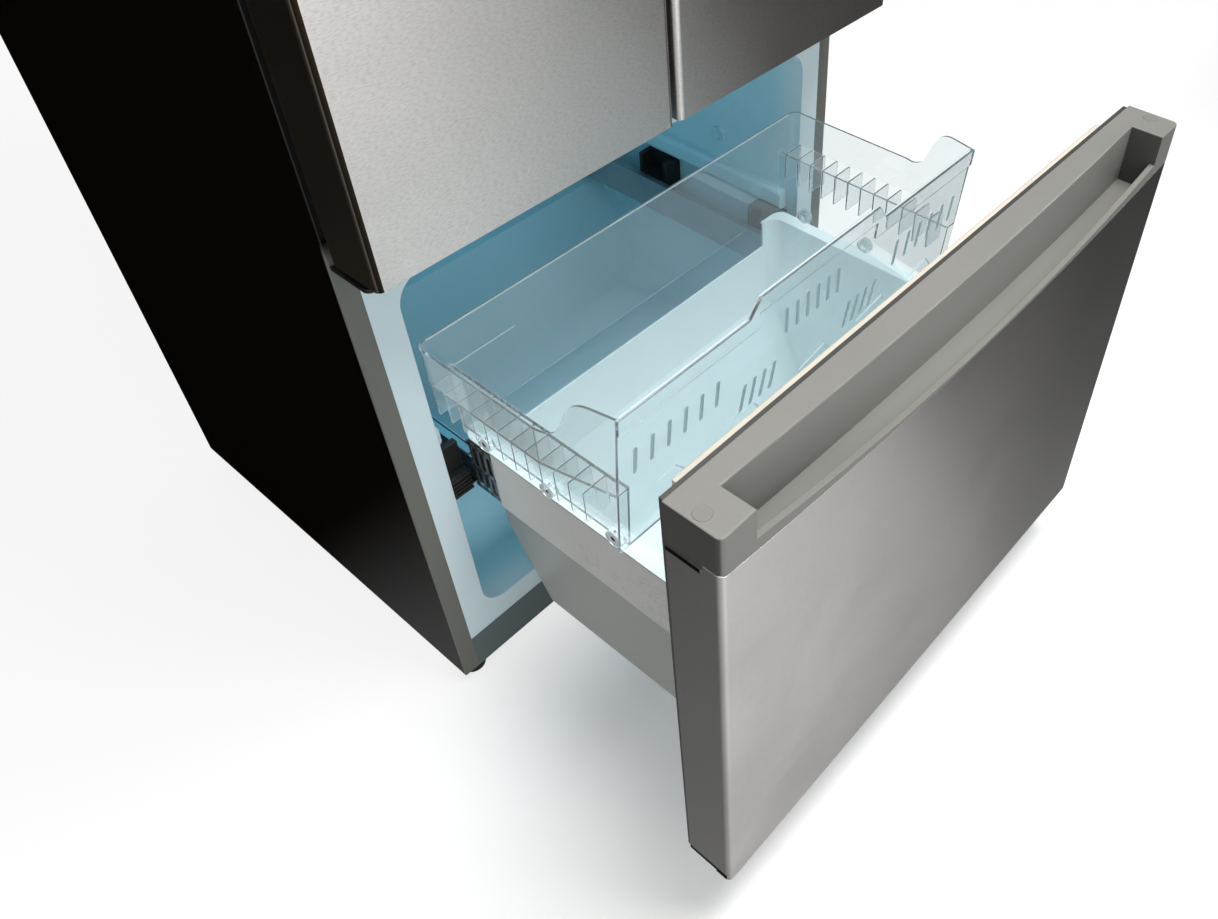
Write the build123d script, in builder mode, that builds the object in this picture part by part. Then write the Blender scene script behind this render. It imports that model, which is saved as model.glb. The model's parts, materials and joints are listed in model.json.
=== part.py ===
from build123d import *
import os

os.makedirs("parts", exist_ok=True)

# A bottom-freezer refrigerator: two hinged upper doors over one pull-out freezer drawer.
# Millimetres. X runs to the right of someone facing the doors, Y runs to the back, Z up from the floor.
# Everything is drawn from the front plane of the cabinet, Y = 0, and save() moves it to the part's
# own frame, whose origin is on the floor under the middle of the part as it stands, drawer open.

# ---- Driving dimensions ----
# cabinet
width = 794.0
cabinet_depth = 681.0
cabinet_top = 1765.0
cabinet_bottom = 19.0
sheet = 1.0                 # steel of the shell and the door skins
heavy_sheet = 2.0           # steel of the base and the brackets
side_wall = 60.0            # outside of the shell to inside of the liner
strip = 24.0                # front return of the shell, on each side
rear_return = 18.0
shell_corner = 2.0
liner_wall = 2.5

# compartments
freezer_floor = 122.0
freezer_ceiling = 690.0
freezer_lip = 84.0          # lower edge of the freezer liner's front flange
freezer_back_foam = 136.0
freezer_corner = 36.0
divider_foot = 18.0         # flange of the freezer liner over its ceiling
fridge_floor = 800.0
fridge_flange = 20.0        # flange of the refrigerator liner under its floor
fridge_back_foam = 121.0
fridge_corner = 20.0
ceiling_foam = 35.0
machine_depth = 211.0       # machine space at the bottom of the back
machine_top = 250.0
hump_foam = 50.0            # over the machine space
hump_run = 78.0             # how far back the sloped face of the step climbs
hump_front_foam = 20.0

# clearances
rest_gap = 0.3              # between a moving piece and what it rests on
sliding_gap = 0.5           # between members that slide on each other
pin_gap = 0.05              # radial, round a turning pin
socket_gap = 0.5            # insulation round a hinge socket

# feet and rollers
foot_inset_x = 27.0
foot_inset_y = 24.0
foot_radius = 19.0
foot_height = 10.0
foot_stem = 5.0
foot_nut = 10.0             # outer radius of the welded nut
foot_nut_top = 40.0
foot_stem_top = 52.0
roller_inset_x = 47.0
roller_inset_y = 69.0
roller_radius = 18.0
roller_width = 24.0
axle_radius = 4.0
ear_half = 12.0
ear_low = 8.0

# upper doors
door_face = 84.9            # front of the closed doors, ahead of the cabinet
door_standoff = 16.0        # back of a closed upper door to the cabinet
door_bottom = 756.5
door_clearance = 3.0        # under the top hinge plate
door_seam = 9.0
door_corner = 7.0           # radius of the long front edges
door_cap_height = 8.0
gasket_width = 14.0
dyke_inset = 7.0            # inside of the compartment to the door's raised dyke
dyke_margin = 30.0          # the same above and below
dyke_inner = 44.0
dyke_width = 18.0
dyke_bar = 16.0
dyke_back = 20.0
pull_low = 1000.0
pull_height = 400.0
pull_wide = 30.0
pull_deep = 25.0
pull_hook = 12.0
pull_nose = 8.0
pull_wall = 2.0
door_bin_count = 3
door_bin_first = 32.0       # from the dyke's foot to the lowest bin
door_bin_spare = 27.0
door_bin_height = 112.0
door_bin_reach = 85.0
door_bin_wall = 3.0
door_bin_corner = 12.0

# hinges
hinge_inset = 14.0
hinge_y = -40.0
hinge_pin = 5.0
hinge_washer = 8.0
hinge_socket_wall = 5.0
hinge_rise = 3.4            # middle hinge plate over the drawer
hinge_plate = 4.0
hinge_reach = 60.0
hinge_width = 46.0
hinge_flange = 30.0
pin_reach = 20.0
top_plate = (-58.0, 96.0)
top_plate_width = 68.0
top_plate_inset = 6.0
cover_margin = 6.0
cover_height = 20.0
cover_wall = 2.0

# flap on the left door that closes the seam
flap_inset = 15.0
flap_axis_x = -26.0
flap_axis_y = 4.0
flap_pin = 2.5
flap_pin_length = 14.0
flap_width = 60.0
flap_thickness = 14.0
flap_arm = 8.0
flap_arm_wall = 5.0

# refrigerator inside
shelf_count = 3
shelf_first = 230.0         # lowest shelf over the floor
shelf_top_bay = 250.0
shelf_front = 104.0
shelf_back_gap = 30.0
shelf_side_gap = 2.0
shelf_band = 26.0
shelf_height = 18.0
glass_thickness = 4.0
glass_seat = 6.0
runner = 18.0
runner_height = 12.0
crisper_front = 160.0
crisper_length = 345.0
crisper_inner = 6.0
crisper_wall = 3.0
crisper_corner = 8.0
crisper_head = 4.0
crisper_lip = 14.0
crisper_lip_half = 60.0
duct_half = 112.0
duct_depth = 22.0
duct_foot = 60.0
duct_head = 40.0
duct_corner = 14.0
duct_slot = (30.0, 88.0)
duct_slot_height = 6.0
duct_slot_pitch = 14.0
lamp_half = 130.0
lamp_span = (150.0, 214.0)
lamp_height = 9.0

# freezer drawer front
drawer_open = 413.3         # how far the drawer stands out
drawer_thickness = 61.3
drawer_bottom = 105.6
drawer_top = 738.6
drawer_liner_thickness = 5.9
drawer_liner_inset = 3.0
drawer_plug = 4.0           # how far the liner's middle stands into the freezer
cap_side_height = 46.2
cap_height = 83.6
cap_arc_middle = 71.6       # top edge of the steel front under the drawer's top, middle and ends
cap_arc_end = 47.6
pocket_end = 42.5
pocket_depth = 69.6
pocket_back = 37.2          # from the drawer's face to the pocket's back wall, at its ends
pocket_bow = 7.0            # how much nearer the face the back wall comes in the middle
lip_thickness = 6.0
lip_middle = 68.1           # lip of the pocket under the drawer's top, middle and ends
lip_end = 36.6
cap_edge = 1.5
plug_inset = 12.0
plug_from_face = 29.0
plug_radius = 8.25
plug_depth = 2.0
plug_proud = 0.3
slot_reach = 41.0           # dark slots at the back of the skin's sides
slot_height = 8.4
bottom_slot = 4.5

# runners and side panels
panel_clearance = 33.0      # inside of the freezer to the drawer's side panels
panel_under_ceiling = 250.0
panel_height = 94.0
panel_flange = 16.0
panel_short = 52.3          # how far the panels stop before the back of the bin
rail_under_panel = 48.0
rail_height = 44.0
rail_sheet = 1.2
rail_inset = 17.5
rail_front = 15.0
rail_length = 420.0
rail_lip = 10.5
middle_length = 410.0
middle_lip = 9.5
middle_lead = 0.35
middle_slot = 20.0
middle_slot_pitch = 50.0
inner_rail_short = 41.7
bracket_flange = 32.0
bracket_drop = 8.0
guide_spans = ((18.0, 74.0), (246.0, 308.0))
guide_height = 42.0
guide_drop = 20.0
guide_wall = 8.0
guide_gap = 1.5

# deep bin
bin_inset = 20.5            # side panel's outside to the bin's side
bin_length = 430.0
bin_over_floor = 18.0
bin_wall = 2.5
bin_corner = 22.0
bin_taper = 1.1
bin_rim = 2.0
bin_rear_drop = 42.5
bin_rear_post = 25.5
bin_slope_top = 300.0
bin_slope_run = 77.0

# clear tray
tray_clearance = 6.0        # inside of the freezer to the tray's side
tray_under_ceiling = 5.0
tray_step = 23.0            # raised middle of the front panel
tray_raised_half = 104.0
tray_shoulder_run = 16.0
tray_ramp = 65.0            # rise of the side wall to the front panel
tray_ramp_margin = (12.0, 4.0)
tray_side = 52.0
tray_draw_in = 21.0
tray_ledge = 34.0
tray_length = 280.0         # from the back to the foot of the front panel
tray_shoulder = 193.0       # from the back to where the sides draw in
tray_behind_bin = 2.7
tray_wall = 3.0
tray_lean = 19.0            # how far the front panel leans out from foot to top
tray_band = 22.0            # thick band along the panel's top
tray_band_wall = 5.5
tray_corner = 14.0
glide_radius = 11.0
glide_hole = 4.0
glide_length = 9.0
glide_places = (50.0, 158.0, 264.0)
rib_pitch = 22.0
rib_count = 12
rib_height = 44.0
rib_thickness = 2.0

# ---- Places worked out from them ----
half = width / 2
inside = half - sheet
cavity_half = half - side_wall
flange_half = half - strip
base_top = cabinet_bottom + heavy_sheet
panel_back = cabinet_depth - sheet
foam_back = panel_back - sheet
freezer_depth = cabinet_depth - freezer_back_foam
fridge_depth = cabinet_depth - fridge_back_foam
fridge_ceiling = cabinet_top - ceiling_foam
divider_low = freezer_ceiling + divider_foot
divider_high = fridge_floor - fridge_flange
machine_front = cabinet_depth - machine_depth
hump_top = machine_top + hump_foam
hump_top_y = machine_front - hump_front_foam
hump_foot = hump_top_y - hump_run
foot_x = half - foot_inset_x
roller_x = half - roller_inset_x
roller_y = cabinet_depth - roller_inset_y

door_top = cabinet_top - door_clearance
door_back = -door_standoff
door_inner_edge = door_seam / 2
hinge_x = half - hinge_inset
hinge_plate_low = drawer_top + hinge_rise
dyke_outer = cavity_half - dyke_inset
dyke_low = fridge_floor + dyke_margin
dyke_high = fridge_ceiling - dyke_margin
door_bin_pitch = (dyke_high - dyke_low - door_bin_spare) / door_bin_count
door_bin_floors = [dyke_low + door_bin_first + door_bin_pitch * step for step in range(door_bin_count)]
pull_high = pull_low + pull_height
flap_low = fridge_floor + flap_inset
flap_high = fridge_ceiling - flap_inset
shelf_lowest = fridge_floor + shelf_first
shelf_pitch = (fridge_ceiling - shelf_lowest - shelf_top_bay) / (shelf_count - 1)
shelf_heights = [shelf_lowest + shelf_pitch * step for step in range(shelf_count)]
shelf_rear = fridge_depth - shelf_back_gap

drawer_face = -(door_face + drawer_open)
drawer_back = drawer_face + drawer_thickness
liner_back = drawer_back + drawer_liner_thickness
plug_back = liner_back + drawer_plug
cap_low = drawer_top - cap_height
cap_side_low = drawer_top - cap_side_height
pocket_half = half - pocket_end
pocket_floor = drawer_top - pocket_depth
panel_outside = cavity_half - panel_clearance
panel_inside = panel_outside - heavy_sheet
panel_high = freezer_ceiling - panel_under_ceiling
panel_low = panel_high - panel_height
rail_high = panel_high - rail_under_panel
rail_low = rail_high - rail_height
rail_x = panel_outside - rail_inset
rail_rear = rail_front + rail_length
bin_half = panel_outside - bin_inset
bin_bottom = freezer_floor + bin_over_floor
bin_front = plug_back + rest_gap + bin_rim
bin_rear = bin_front + bin_length
panel_rear = bin_rear - panel_short
rim_high = panel_high + bin_wall
tray_half = cavity_half - tray_clearance
tray_front_half = tray_half - tray_draw_in
skirt_half = tray_half - tray_ledge
tray_raised_top = freezer_ceiling - tray_under_ceiling
tray_front_top = tray_raised_top - tray_step
tray_side_top = tray_front_top - tray_ramp
tray_floor = tray_side_top - tray_side
tray_rear = bin_rear + tray_behind_bin
tray_foot = rim_high + 2 * bin_rim
frame_shift = -(cabinet_depth + drawer_face) / 2


# ---- Helpers ----
def block(xs, ys, zs, mode=Mode.ADD):
    """A box between two values on each axis, in the part being built."""
    centre = ((xs[0] + xs[1]) / 2, (ys[0] + ys[1]) / 2, (zs[0] + zs[1]) / 2)
    with Locations(centre):
        Box(xs[1] - xs[0], ys[1] - ys[0], zs[1] - zs[0], mode=mode)


def cut(xs, ys, zs):
    block(xs, ys, zs, Mode.SUBTRACT)


def on_side(side, low, high):
    """The X span from low to high, mirrored to the left where side is -1."""
    return sorted((side * low, side * high))


def post(x, y, radius, zs, mode=Mode.ADD):
    """An upright cylinder between two heights."""
    with Locations((x, y, (zs[0] + zs[1]) / 2)):
        Cylinder(radius, zs[1] - zs[0], mode=mode)


def rod_x(xs, y, z, radius, mode=Mode.ADD):
    """A cylinder along X."""
    with Locations(((xs[0] + xs[1]) / 2, y, z)):
        Cylinder(radius, xs[1] - xs[0], rotation=(0, 90, 0), mode=mode)


def rod_y(x, ys, z, radius, mode=Mode.ADD):
    """A cylinder along Y."""
    with Locations((x, (ys[0] + ys[1]) / 2, z)):
        Cylinder(radius, ys[1] - ys[0], rotation=(90, 0, 0), mode=mode)


def rounded_plan(xs, ys, radius, end):
    """A plan rectangle with its front (end 0) or back (end -1) corners rounded, in the sketch being built."""
    with Locations(((xs[0] + xs[1]) / 2, (ys[0] + ys[1]) / 2)):
        Rectangle(xs[1] - xs[0], ys[1] - ys[0])
    fillet(vertices().group_by(Axis.Y)[end], radius)


def wrapped(xs, ys, radius):
    """The plan of a skin bent round a door: front and both sides, open at the back."""
    with Locations(((xs[0] + xs[1]) / 2, (ys[0] + ys[1]) / 2)):
        Rectangle(xs[1] - xs[0], ys[1] - ys[0])
    with Locations(((xs[0] + xs[1]) / 2, (ys[0] + ys[1]) / 2 + sheet)):
        Rectangle(xs[1] - xs[0] - 2 * sheet, ys[1] - ys[0], mode=Mode.SUBTRACT)
    fillet(vertices().group_by(Axis.Y)[0], radius)
    fillet(vertices().group_by(Axis.Y)[1], radius - sheet)


def channel(root, tip, low, high, ys):
    """A rolled channel: a web at X = root, with its two lips reaching to X = tip."""
    web = sorted((root, root + rail_sheet if tip > root else root - rail_sheet))
    block(web, ys, (low, high))
    block(sorted((root, tip)), ys, (low, low + rail_sheet))
    block(sorted((root, tip)), ys, (high - rail_sheet, high))


def save(part, name):
    """Moves a finished piece to the part's frame and writes it."""
    piece = part.moved(Location((0, frame_shift, 0)))
    piece.label = name
    export_step(piece, f"parts/{name}.step")


# ---- Cabinet: steel shell, rear panel and base ----
with BuildPart() as cabinet_shell:
    block((-half, half), (0, cabinet_depth), (cabinet_bottom, cabinet_top))
    fillet(edges().filter_by(Axis.Z).group_by(Axis.Y)[0], shell_corner)
    cut((-inside, inside), (sheet, cabinet_depth - sheet), (cabinet_bottom, cabinet_top - sheet))
    cut((-flange_half, flange_half), (0, sheet), (cabinet_bottom, cabinet_top - strip / 2))
    cut(
        (-half + rear_return, half - rear_return),
        (cabinet_depth - sheet, cabinet_depth),
        (cabinet_bottom, cabinet_top - rear_return),
    )
save(cabinet_shell.part, "cabinet_shell")

swage_count = 3
swage_height = 120.0
swage_inset = 90.0
panel_foot = machine_top + sheet
swage_pitch = (cabinet_top - panel_foot) / (swage_count + 0.5)
with BuildPart() as back_panel:
    block((-inside, inside), (foam_back, panel_back), (panel_foot, cabinet_top - sheet))
    for step in range(swage_count):
        height = panel_foot + swage_pitch * (step + 0.75)
        cut(
            (-half + swage_inset, half - swage_inset),
            (panel_back - sheet / 2, panel_back),
            (height, height + swage_height),
        )
save(back_panel.part, "back_panel")

roller_inner = roller_x - roller_width / 2 - rest_gap
roller_outer = roller_x + roller_width / 2 + rest_gap
with BuildPart() as base_pan:
    block((-inside, inside), (heavy_sheet, panel_back - heavy_sheet), (cabinet_bottom, base_top))
    block((-flange_half, flange_half), (0, heavy_sheet), (cabinet_bottom, freezer_lip))
    block((-inside, inside), (machine_front - heavy_sheet, machine_front), (base_top, machine_top))
    block((-inside, inside), (machine_front - heavy_sheet, foam_back), (machine_top, panel_foot))
    for side in (-1, 1):
        post(side * foot_x, foot_inset_y, foot_nut, (base_top, foot_nut_top))
        post(side * foot_x, foot_inset_y, foot_stem + pin_gap, (cabinet_bottom, foot_nut_top), Mode.SUBTRACT)
        cut(
            on_side(side, roller_inner, roller_outer),
            (roller_y - roller_radius - heavy_sheet, roller_y + roller_radius + heavy_sheet),
            (cabinet_bottom, base_top),
        )
        for ear_side in (roller_inner - heavy_sheet, roller_outer):
            block(
                on_side(side, ear_side, ear_side + heavy_sheet),
                (roller_y - ear_half, roller_y + ear_half),
                (ear_low, base_top),
            )
        axle = on_side(side, roller_inner - heavy_sheet, roller_outer + heavy_sheet)
        rod_x(axle, roller_y, roller_radius, axle_radius)
save(base_pan.part, "base_pan")

# ---- Levelling feet and rear rollers ----
foot_edge = 3.0
foot_hexagon = 8.0
foot_hexagon_height = 6.0
roller_edge = 2.0
for side, name in ((-1, "left"), (1, "right")):
    with BuildPart() as foot:
        post(side * foot_x, foot_inset_y, foot_radius, (0, foot_height))
        fillet(edges().filter_by(GeomType.CIRCLE).group_by(Axis.Z)[-1], foot_edge)
        post(side * foot_x, foot_inset_y, foot_stem, (foot_height, foot_stem_top))
        with BuildSketch(Plane.XY.offset(foot_height)):
            with Locations((side * foot_x, foot_inset_y)):
                RegularPolygon(foot_hexagon, 6)
        extrude(amount=foot_hexagon_height)
    save(foot.part, f"foot_{name}")

    with BuildPart() as roller:
        tread = on_side(side, roller_x - roller_width / 2, roller_x + roller_width / 2)
        rod_x(tread, roller_y, roller_radius, roller_radius)
        fillet(edges().filter_by(GeomType.CIRCLE), roller_edge)
        rod_x(tread, roller_y, roller_radius, axle_radius + pin_gap, Mode.SUBTRACT)
    save(roller.part, f"roller_{name}")

# ---- Freezer liner: a moulded box whose floor steps up over the machine space ----
beyond = 60.0           # how far a cutting outline runs past what it cuts


def hump(wall):
    """The YZ outline under the stepped floor, drawn back from the inside of the liner by a wall."""
    with BuildLine() as outline:
        Polyline(
            (hump_foot, freezer_floor - beyond),
            (hump_foot, freezer_floor),
            (hump_top_y, hump_top),
            (freezer_depth + beyond, hump_top),
            (freezer_depth + beyond, freezer_floor - beyond),
            close=True,
        )
    make_face(outline.edges())
    if wall:
        offset(amount=-wall, kind=Kind.INTERSECTION)


def liner_box(low, high, corner, wall):
    """The XZ outline of a liner, rounded at its four corners, grown by a wall."""
    with Locations((0, (low + high) / 2)):
        Rectangle(2 * (cavity_half + wall), high - low + 2 * wall)
    fillet(vertices(), corner + wall)


with BuildPart() as freezer_space:
    with BuildSketch(Plane.XZ):
        liner_box(freezer_floor, freezer_ceiling, freezer_corner, 0)
    extrude(amount=-freezer_depth)
    with BuildSketch(Plane.YZ.offset(-half)):
        hump(0)
    extrude(amount=width, mode=Mode.SUBTRACT)

with BuildPart() as freezer_mould:
    with BuildSketch(Plane.XZ):
        liner_box(freezer_floor, freezer_ceiling, freezer_corner, liner_wall)
    extrude(amount=-(freezer_depth + liner_wall))
    with BuildSketch(Plane.YZ.offset(-half)):
        hump(liner_wall)
    extrude(amount=width, mode=Mode.SUBTRACT)
    block((-flange_half, flange_half), (0, liner_wall), (freezer_lip, divider_low))

ledge_low = panel_high - 15.0
ledge_height = 31.0
ledge_width = 15.0
ledge_edge = 7.0
ledge_front = 22.0
ledge_length = 313.0
ring_y = 158.0
ring_z = panel_high + 58.0
ring_radius = 13.0
ring_bore = 8.0
ring_height = 4.0
with BuildPart() as freezer_liner:
    add(freezer_mould.part)
    add(freezer_space.part, mode=Mode.SUBTRACT)
    for side in (-1, 1):
        block(
            on_side(side, cavity_half - ledge_width, cavity_half + liner_wall / 2),
            (ledge_front, ledge_front + ledge_length),
            (ledge_low, ledge_low + ledge_height),
        )
        rod_x(on_side(side, cavity_half - ring_height, cavity_half + sheet), ring_y, ring_z, ring_radius)
        rod_x(
            on_side(side, cavity_half - ring_height, cavity_half - sheet),
            ring_y,
            ring_z,
            ring_bore,
            Mode.SUBTRACT,
        )
    ledge_edges = edges().filter_by(Axis.Y).filter_by(
        lambda edge: abs(abs(edge.center().X) - cavity_half + ledge_width) < sheet / 10
    )
    fillet(ledge_edges, ledge_edge)
save(freezer_liner.part, "freezer_liner")

# ---- Refrigerator liner, with moulded runners for the shelves ----
with BuildPart() as fridge_space:
    with BuildSketch(Plane.XZ):
        liner_box(fridge_floor, fridge_ceiling, fridge_corner, 0)
    extrude(amount=-fridge_depth)

with BuildPart() as fridge_mould:
    with BuildSketch(Plane.XZ):
        liner_box(fridge_floor, fridge_ceiling, fridge_corner, liner_wall)
    extrude(amount=-(fridge_depth + liner_wall))
    block((-flange_half, flange_half), (0, liner_wall), (divider_high, cabinet_top - strip / 2))

with BuildPart() as fridge_liner:
    add(fridge_mould.part)
    add(fridge_space.part, mode=Mode.SUBTRACT)
    for height in shelf_heights:
        for side in (-1, 1):
            block(
                on_side(side, cavity_half - runner, cavity_half + liner_wall / 2),
                (shelf_front, shelf_rear),
                (height - runner_height, height),
            )
save(fridge_liner.part, "fridge_liner")

# ---- Foam between the shell and the liners ----
foot_room = 13.0
with BuildPart() as cabinet_foam:
    block((-inside, inside), (liner_wall, foam_back), (base_top, cabinet_top - sheet))
    cut((-inside, inside), (machine_front - heavy_sheet, foam_back), (base_top, panel_foot))
    add(freezer_mould.part, mode=Mode.SUBTRACT)
    add(fridge_mould.part, mode=Mode.SUBTRACT)
    for side in (-1, 1):
        post(side * foot_x, foot_inset_y, foot_room, (base_top, foot_stem_top + foot_edge), Mode.SUBTRACT)
save(cabinet_foam.part, "cabinet_foam")

divider_lip = 12.0
with BuildPart() as divider_rail:
    block((-flange_half, flange_half), (0, heavy_sheet), (divider_low, divider_high))
    block((-flange_half, flange_half), (heavy_sheet, liner_wall), (divider_low, divider_low + divider_lip))
    block((-flange_half, flange_half), (heavy_sheet, liner_wall), (divider_high - divider_lip, divider_high))
save(divider_rail.part, "divider_rail")

# ---- Machine space: compressor, condenser, fan, drain pan and rear cover ----
compressor_x = -(half - 162.0)
machine_middle = machine_front + 110.0
can_radius = 72.0
can_height = 150.0
can_dome = 44.0
weld_height = 62.0
weld_flange = 3.0
weld_thickness = 4.0
mount_height = 14.0
mount_radius = 13.0
mount_x = 75.0
mount_y = 55.0
mount_margin = 16.0
plate = 3.0
pipe_rise = 30.0
pipe_out = 26.0
pipe_root = 6.0
suction_radius = 4.0
discharge_radius = 3.0
terminal_out = 18.0
terminal_half = 28.0
terminal_height = 62.0

with BuildPart() as compressor_mounts:
    with Locations((compressor_x, machine_middle, base_top + mount_height / 2)):
        with GridLocations(2 * mount_x, 2 * mount_y, 2, 2):
            Cylinder(mount_radius, mount_height)
    fillet(edges().filter_by(GeomType.CIRCLE), roller_edge)
save(compressor_mounts.part, "compressor_mounts")

plate_low = base_top + mount_height
can_low = plate_low + plate
weld = can_low + weld_height
with BuildPart() as compressor:
    block(
        (compressor_x - mount_x - mount_margin, compressor_x + mount_x + mount_margin),
        (machine_middle - mount_y - mount_margin, machine_middle + mount_y + mount_margin),
        (plate_low, can_low),
    )
    post(compressor_x, machine_middle, can_radius, (can_low, can_low + can_height))
    fillet(edges().filter_by(GeomType.CIRCLE).group_by(Axis.Z)[-1], can_dome)
    post(compressor_x, machine_middle, can_radius + weld_flange, (weld, weld + weld_thickness))
    can_side = compressor_x + can_radius
    pipe_run = (can_side - pipe_root, can_side + pipe_out)
    rod_x(pipe_run, machine_middle, weld + pipe_rise, suction_radius)
    rod_x(pipe_run, machine_middle - pipe_out, weld - pipe_rise, discharge_radius)
    block(
        (compressor_x - can_radius - terminal_out, compressor_x - can_radius + terminal_out),
        (machine_middle - terminal_half, machine_middle + terminal_half),
        (can_low + pipe_rise, can_low + pipe_rise + terminal_height),
    )
save(compressor.part, "compressor")

fan_x = 18.0
fan_to_pan = 52.0
pan_to_side = 112.0
pan_start = fan_x + fan_to_pan
pan_width = half - pan_to_side - pan_start
pan_depth = 178.0
pan_height = 38.0
pan_wall = 2.5
pan_xs = (pan_start, pan_start + pan_width)
pan_ys = (machine_front + 20.0, machine_front + 20.0 + pan_depth)
with BuildPart() as drain_pan:
    block(pan_xs, pan_ys, (base_top, base_top + pan_height))
    cut(
        (pan_xs[0] + pan_wall, pan_xs[1] - pan_wall),
        (pan_ys[0] + pan_wall, pan_ys[1] - pan_wall),
        (base_top + pan_wall, base_top + pan_height),
    )
save(drain_pan.part, "drain_pan")

fin_half = 0.6
tube_radius = 4.0
end_plate_half = 1.5
coil_end = 10.0             # tubes beyond the first and last fin
coil_fins = 22
coil_inset = 15.0
coil_x = (pan_start + coil_inset, pan_start + pan_width - coil_inset)
coil_y = (pan_ys[0] + 8.0, pan_ys[1] - 14.0)
coil_z = (base_top + 45.0, machine_top - 34.0)
coil_rows = 4
coil_columns = 3
coil_row_pitch = 38.0
coil_column_pitch = 46.0
coil_leg = 14.0
with BuildPart() as condenser:
    for step in range(coil_fins):
        x = coil_x[0] + (coil_x[1] - coil_x[0]) * step / (coil_fins - 1)
        block((x - fin_half, x + fin_half), coil_y, coil_z)
    tubes = (coil_x[0] - coil_end, coil_x[1] + coil_end)
    for row in range(coil_rows):
        for column in range(coil_columns):
            y = coil_y[0] + coil_row_pitch * 0.7 + coil_column_pitch * column
            rod_x(tubes, y, coil_z[0] + coil_row_pitch * (row + 0.6), tube_radius)
    for x in tubes:
        plate_x = (x - end_plate_half, x + end_plate_half)
        block(plate_x, coil_y, (base_top + pan_height, coil_z[1]))
        block(plate_x, (coil_y[0], coil_y[0] + coil_leg), (base_top + pan_wall, coil_z[1]))
        block(plate_x, (coil_y[1] - coil_leg, coil_y[1]), (base_top + pan_wall, coil_z[1]))
save(condenser.part, "condenser")

fan_shaft = 3.0
blade_count = 5
blade_pitch = 28.0
blade_thickness = 1.8
blade_share = 0.62          # a blade's width to the wheel's radius


def fan_wheel(hub, reach, depth):
    """Flat blades set at a pitch round the Z axis at the origin, reaching out from a hub."""
    with BuildPart() as wheel:
        Cylinder(hub, depth)
        with PolarLocations(0, blade_count):
            with Locations(((hub + reach) / 2, 0, 0)):
                Box(reach - hub / 2, reach * blade_share, blade_thickness, rotation=(blade_pitch, 0, 0))
        Cylinder(reach, depth * 2, mode=Mode.INTERSECT)
    return wheel.part


fan_y = machine_front + 108.0
fan_z = base_top + 117.0
fan_reach = 68.0
fan_hub = 20.0
fan_depth = 26.0
fan_bore = (-20.0, 6.0)
motor_body = (-62.0, -24.0)
motor_radius = 26.0
motor_post = (-60.0, -52.0)
motor_post_half = 8.0
motor_foot = (-70.0, -40.0)
motor_foot_half = 30.0
shaft_end = 5.0
shroud_gap = 8.0
shroud_half = 6.0
shroud_margin = 12.0
with BuildPart() as condenser_fan:
    with Locations(Location((fan_x, fan_y, fan_z), (0, 90, 0))):
        add(fan_wheel(fan_hub, fan_reach, fan_depth))
    rod_x((fan_x + fan_bore[0], fan_x + fan_bore[1]), fan_y, fan_z, fan_shaft + pin_gap, Mode.SUBTRACT)
save(condenser_fan.part, "condenser_fan")

with BuildPart() as condenser_fan_motor:
    rod_x((fan_x + motor_body[0], fan_x + motor_body[1]), fan_y, fan_z, motor_radius)
    block(
        (fan_x + motor_post[0], fan_x + motor_post[1]),
        (fan_y - motor_post_half, fan_y + motor_post_half),
        (base_top, fan_z),
    )
    block(
        (fan_x + motor_foot[0], fan_x + motor_foot[1]),
        (fan_y - motor_foot_half, fan_y + motor_foot_half),
        (base_top, base_top + plate),
    )
    shroud = fan_reach + shroud_gap
    block(
        (fan_x - shroud_half, fan_x + shroud_half),
        (fan_y - shroud - shroud_margin, fan_y + shroud + shroud_margin),
        (base_top, fan_z + shroud + shroud_margin),
    )
    rod_x((fan_x - 2 * shroud_half, fan_x + 2 * shroud_half), fan_y, fan_z, shroud, Mode.SUBTRACT)
    rod_x((fan_x + motor_body[0], fan_x + shaft_end), fan_y, fan_z, fan_shaft)
save(condenser_fan_motor.part, "condenser_fan_motor")

inlet_x = half - 79.0
inlet_z = base_top + 129.0
inlet_wide = 46.0
inlet_high = 34.0
inlet_depth = 24.0
inlet_socket = (24.0, 18.0, 17.0)
inlet_pin_pitch = 7.0
inlet_pin_half = (1.0, 2.0)
inlet_pin_short = 3.0
louvre_z = base_top + 107.0
louvre_pitch = (66.0, 15.0)
louvre_size = (54.0, 6.0)
louvre_count = (3, 9)
louvre_places = (-(half - 167.0), half - 217.0)
through = 4 * heavy_sheet   # how deep an opening cuts in a thin sheet
inlet_xs = (inlet_x - inlet_wide / 2, inlet_x + inlet_wide / 2)
inlet_zs = (inlet_z - inlet_high / 2, inlet_z + inlet_high / 2)

with BuildPart() as machine_cover:
    block((-inside, inside), (panel_back - heavy_sheet, panel_back), (base_top, machine_top))
    for x in louvre_places:
        for column in range(louvre_count[0]):
            for row in range(louvre_count[1]):
                middle = x + louvre_pitch[0] * (column - (louvre_count[0] - 1) / 2)
                level = louvre_z + louvre_pitch[1] * (row - (louvre_count[1] - 1) / 2)
                cut(
                    (middle - louvre_size[0] / 2, middle + louvre_size[0] / 2),
                    (panel_back - through, panel_back + through),
                    (level - louvre_size[1] / 2, level + louvre_size[1] / 2),
                )
    cut(inlet_xs, (panel_back - through, panel_back + through), inlet_zs)
save(machine_cover.part, "machine_cover")

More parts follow.
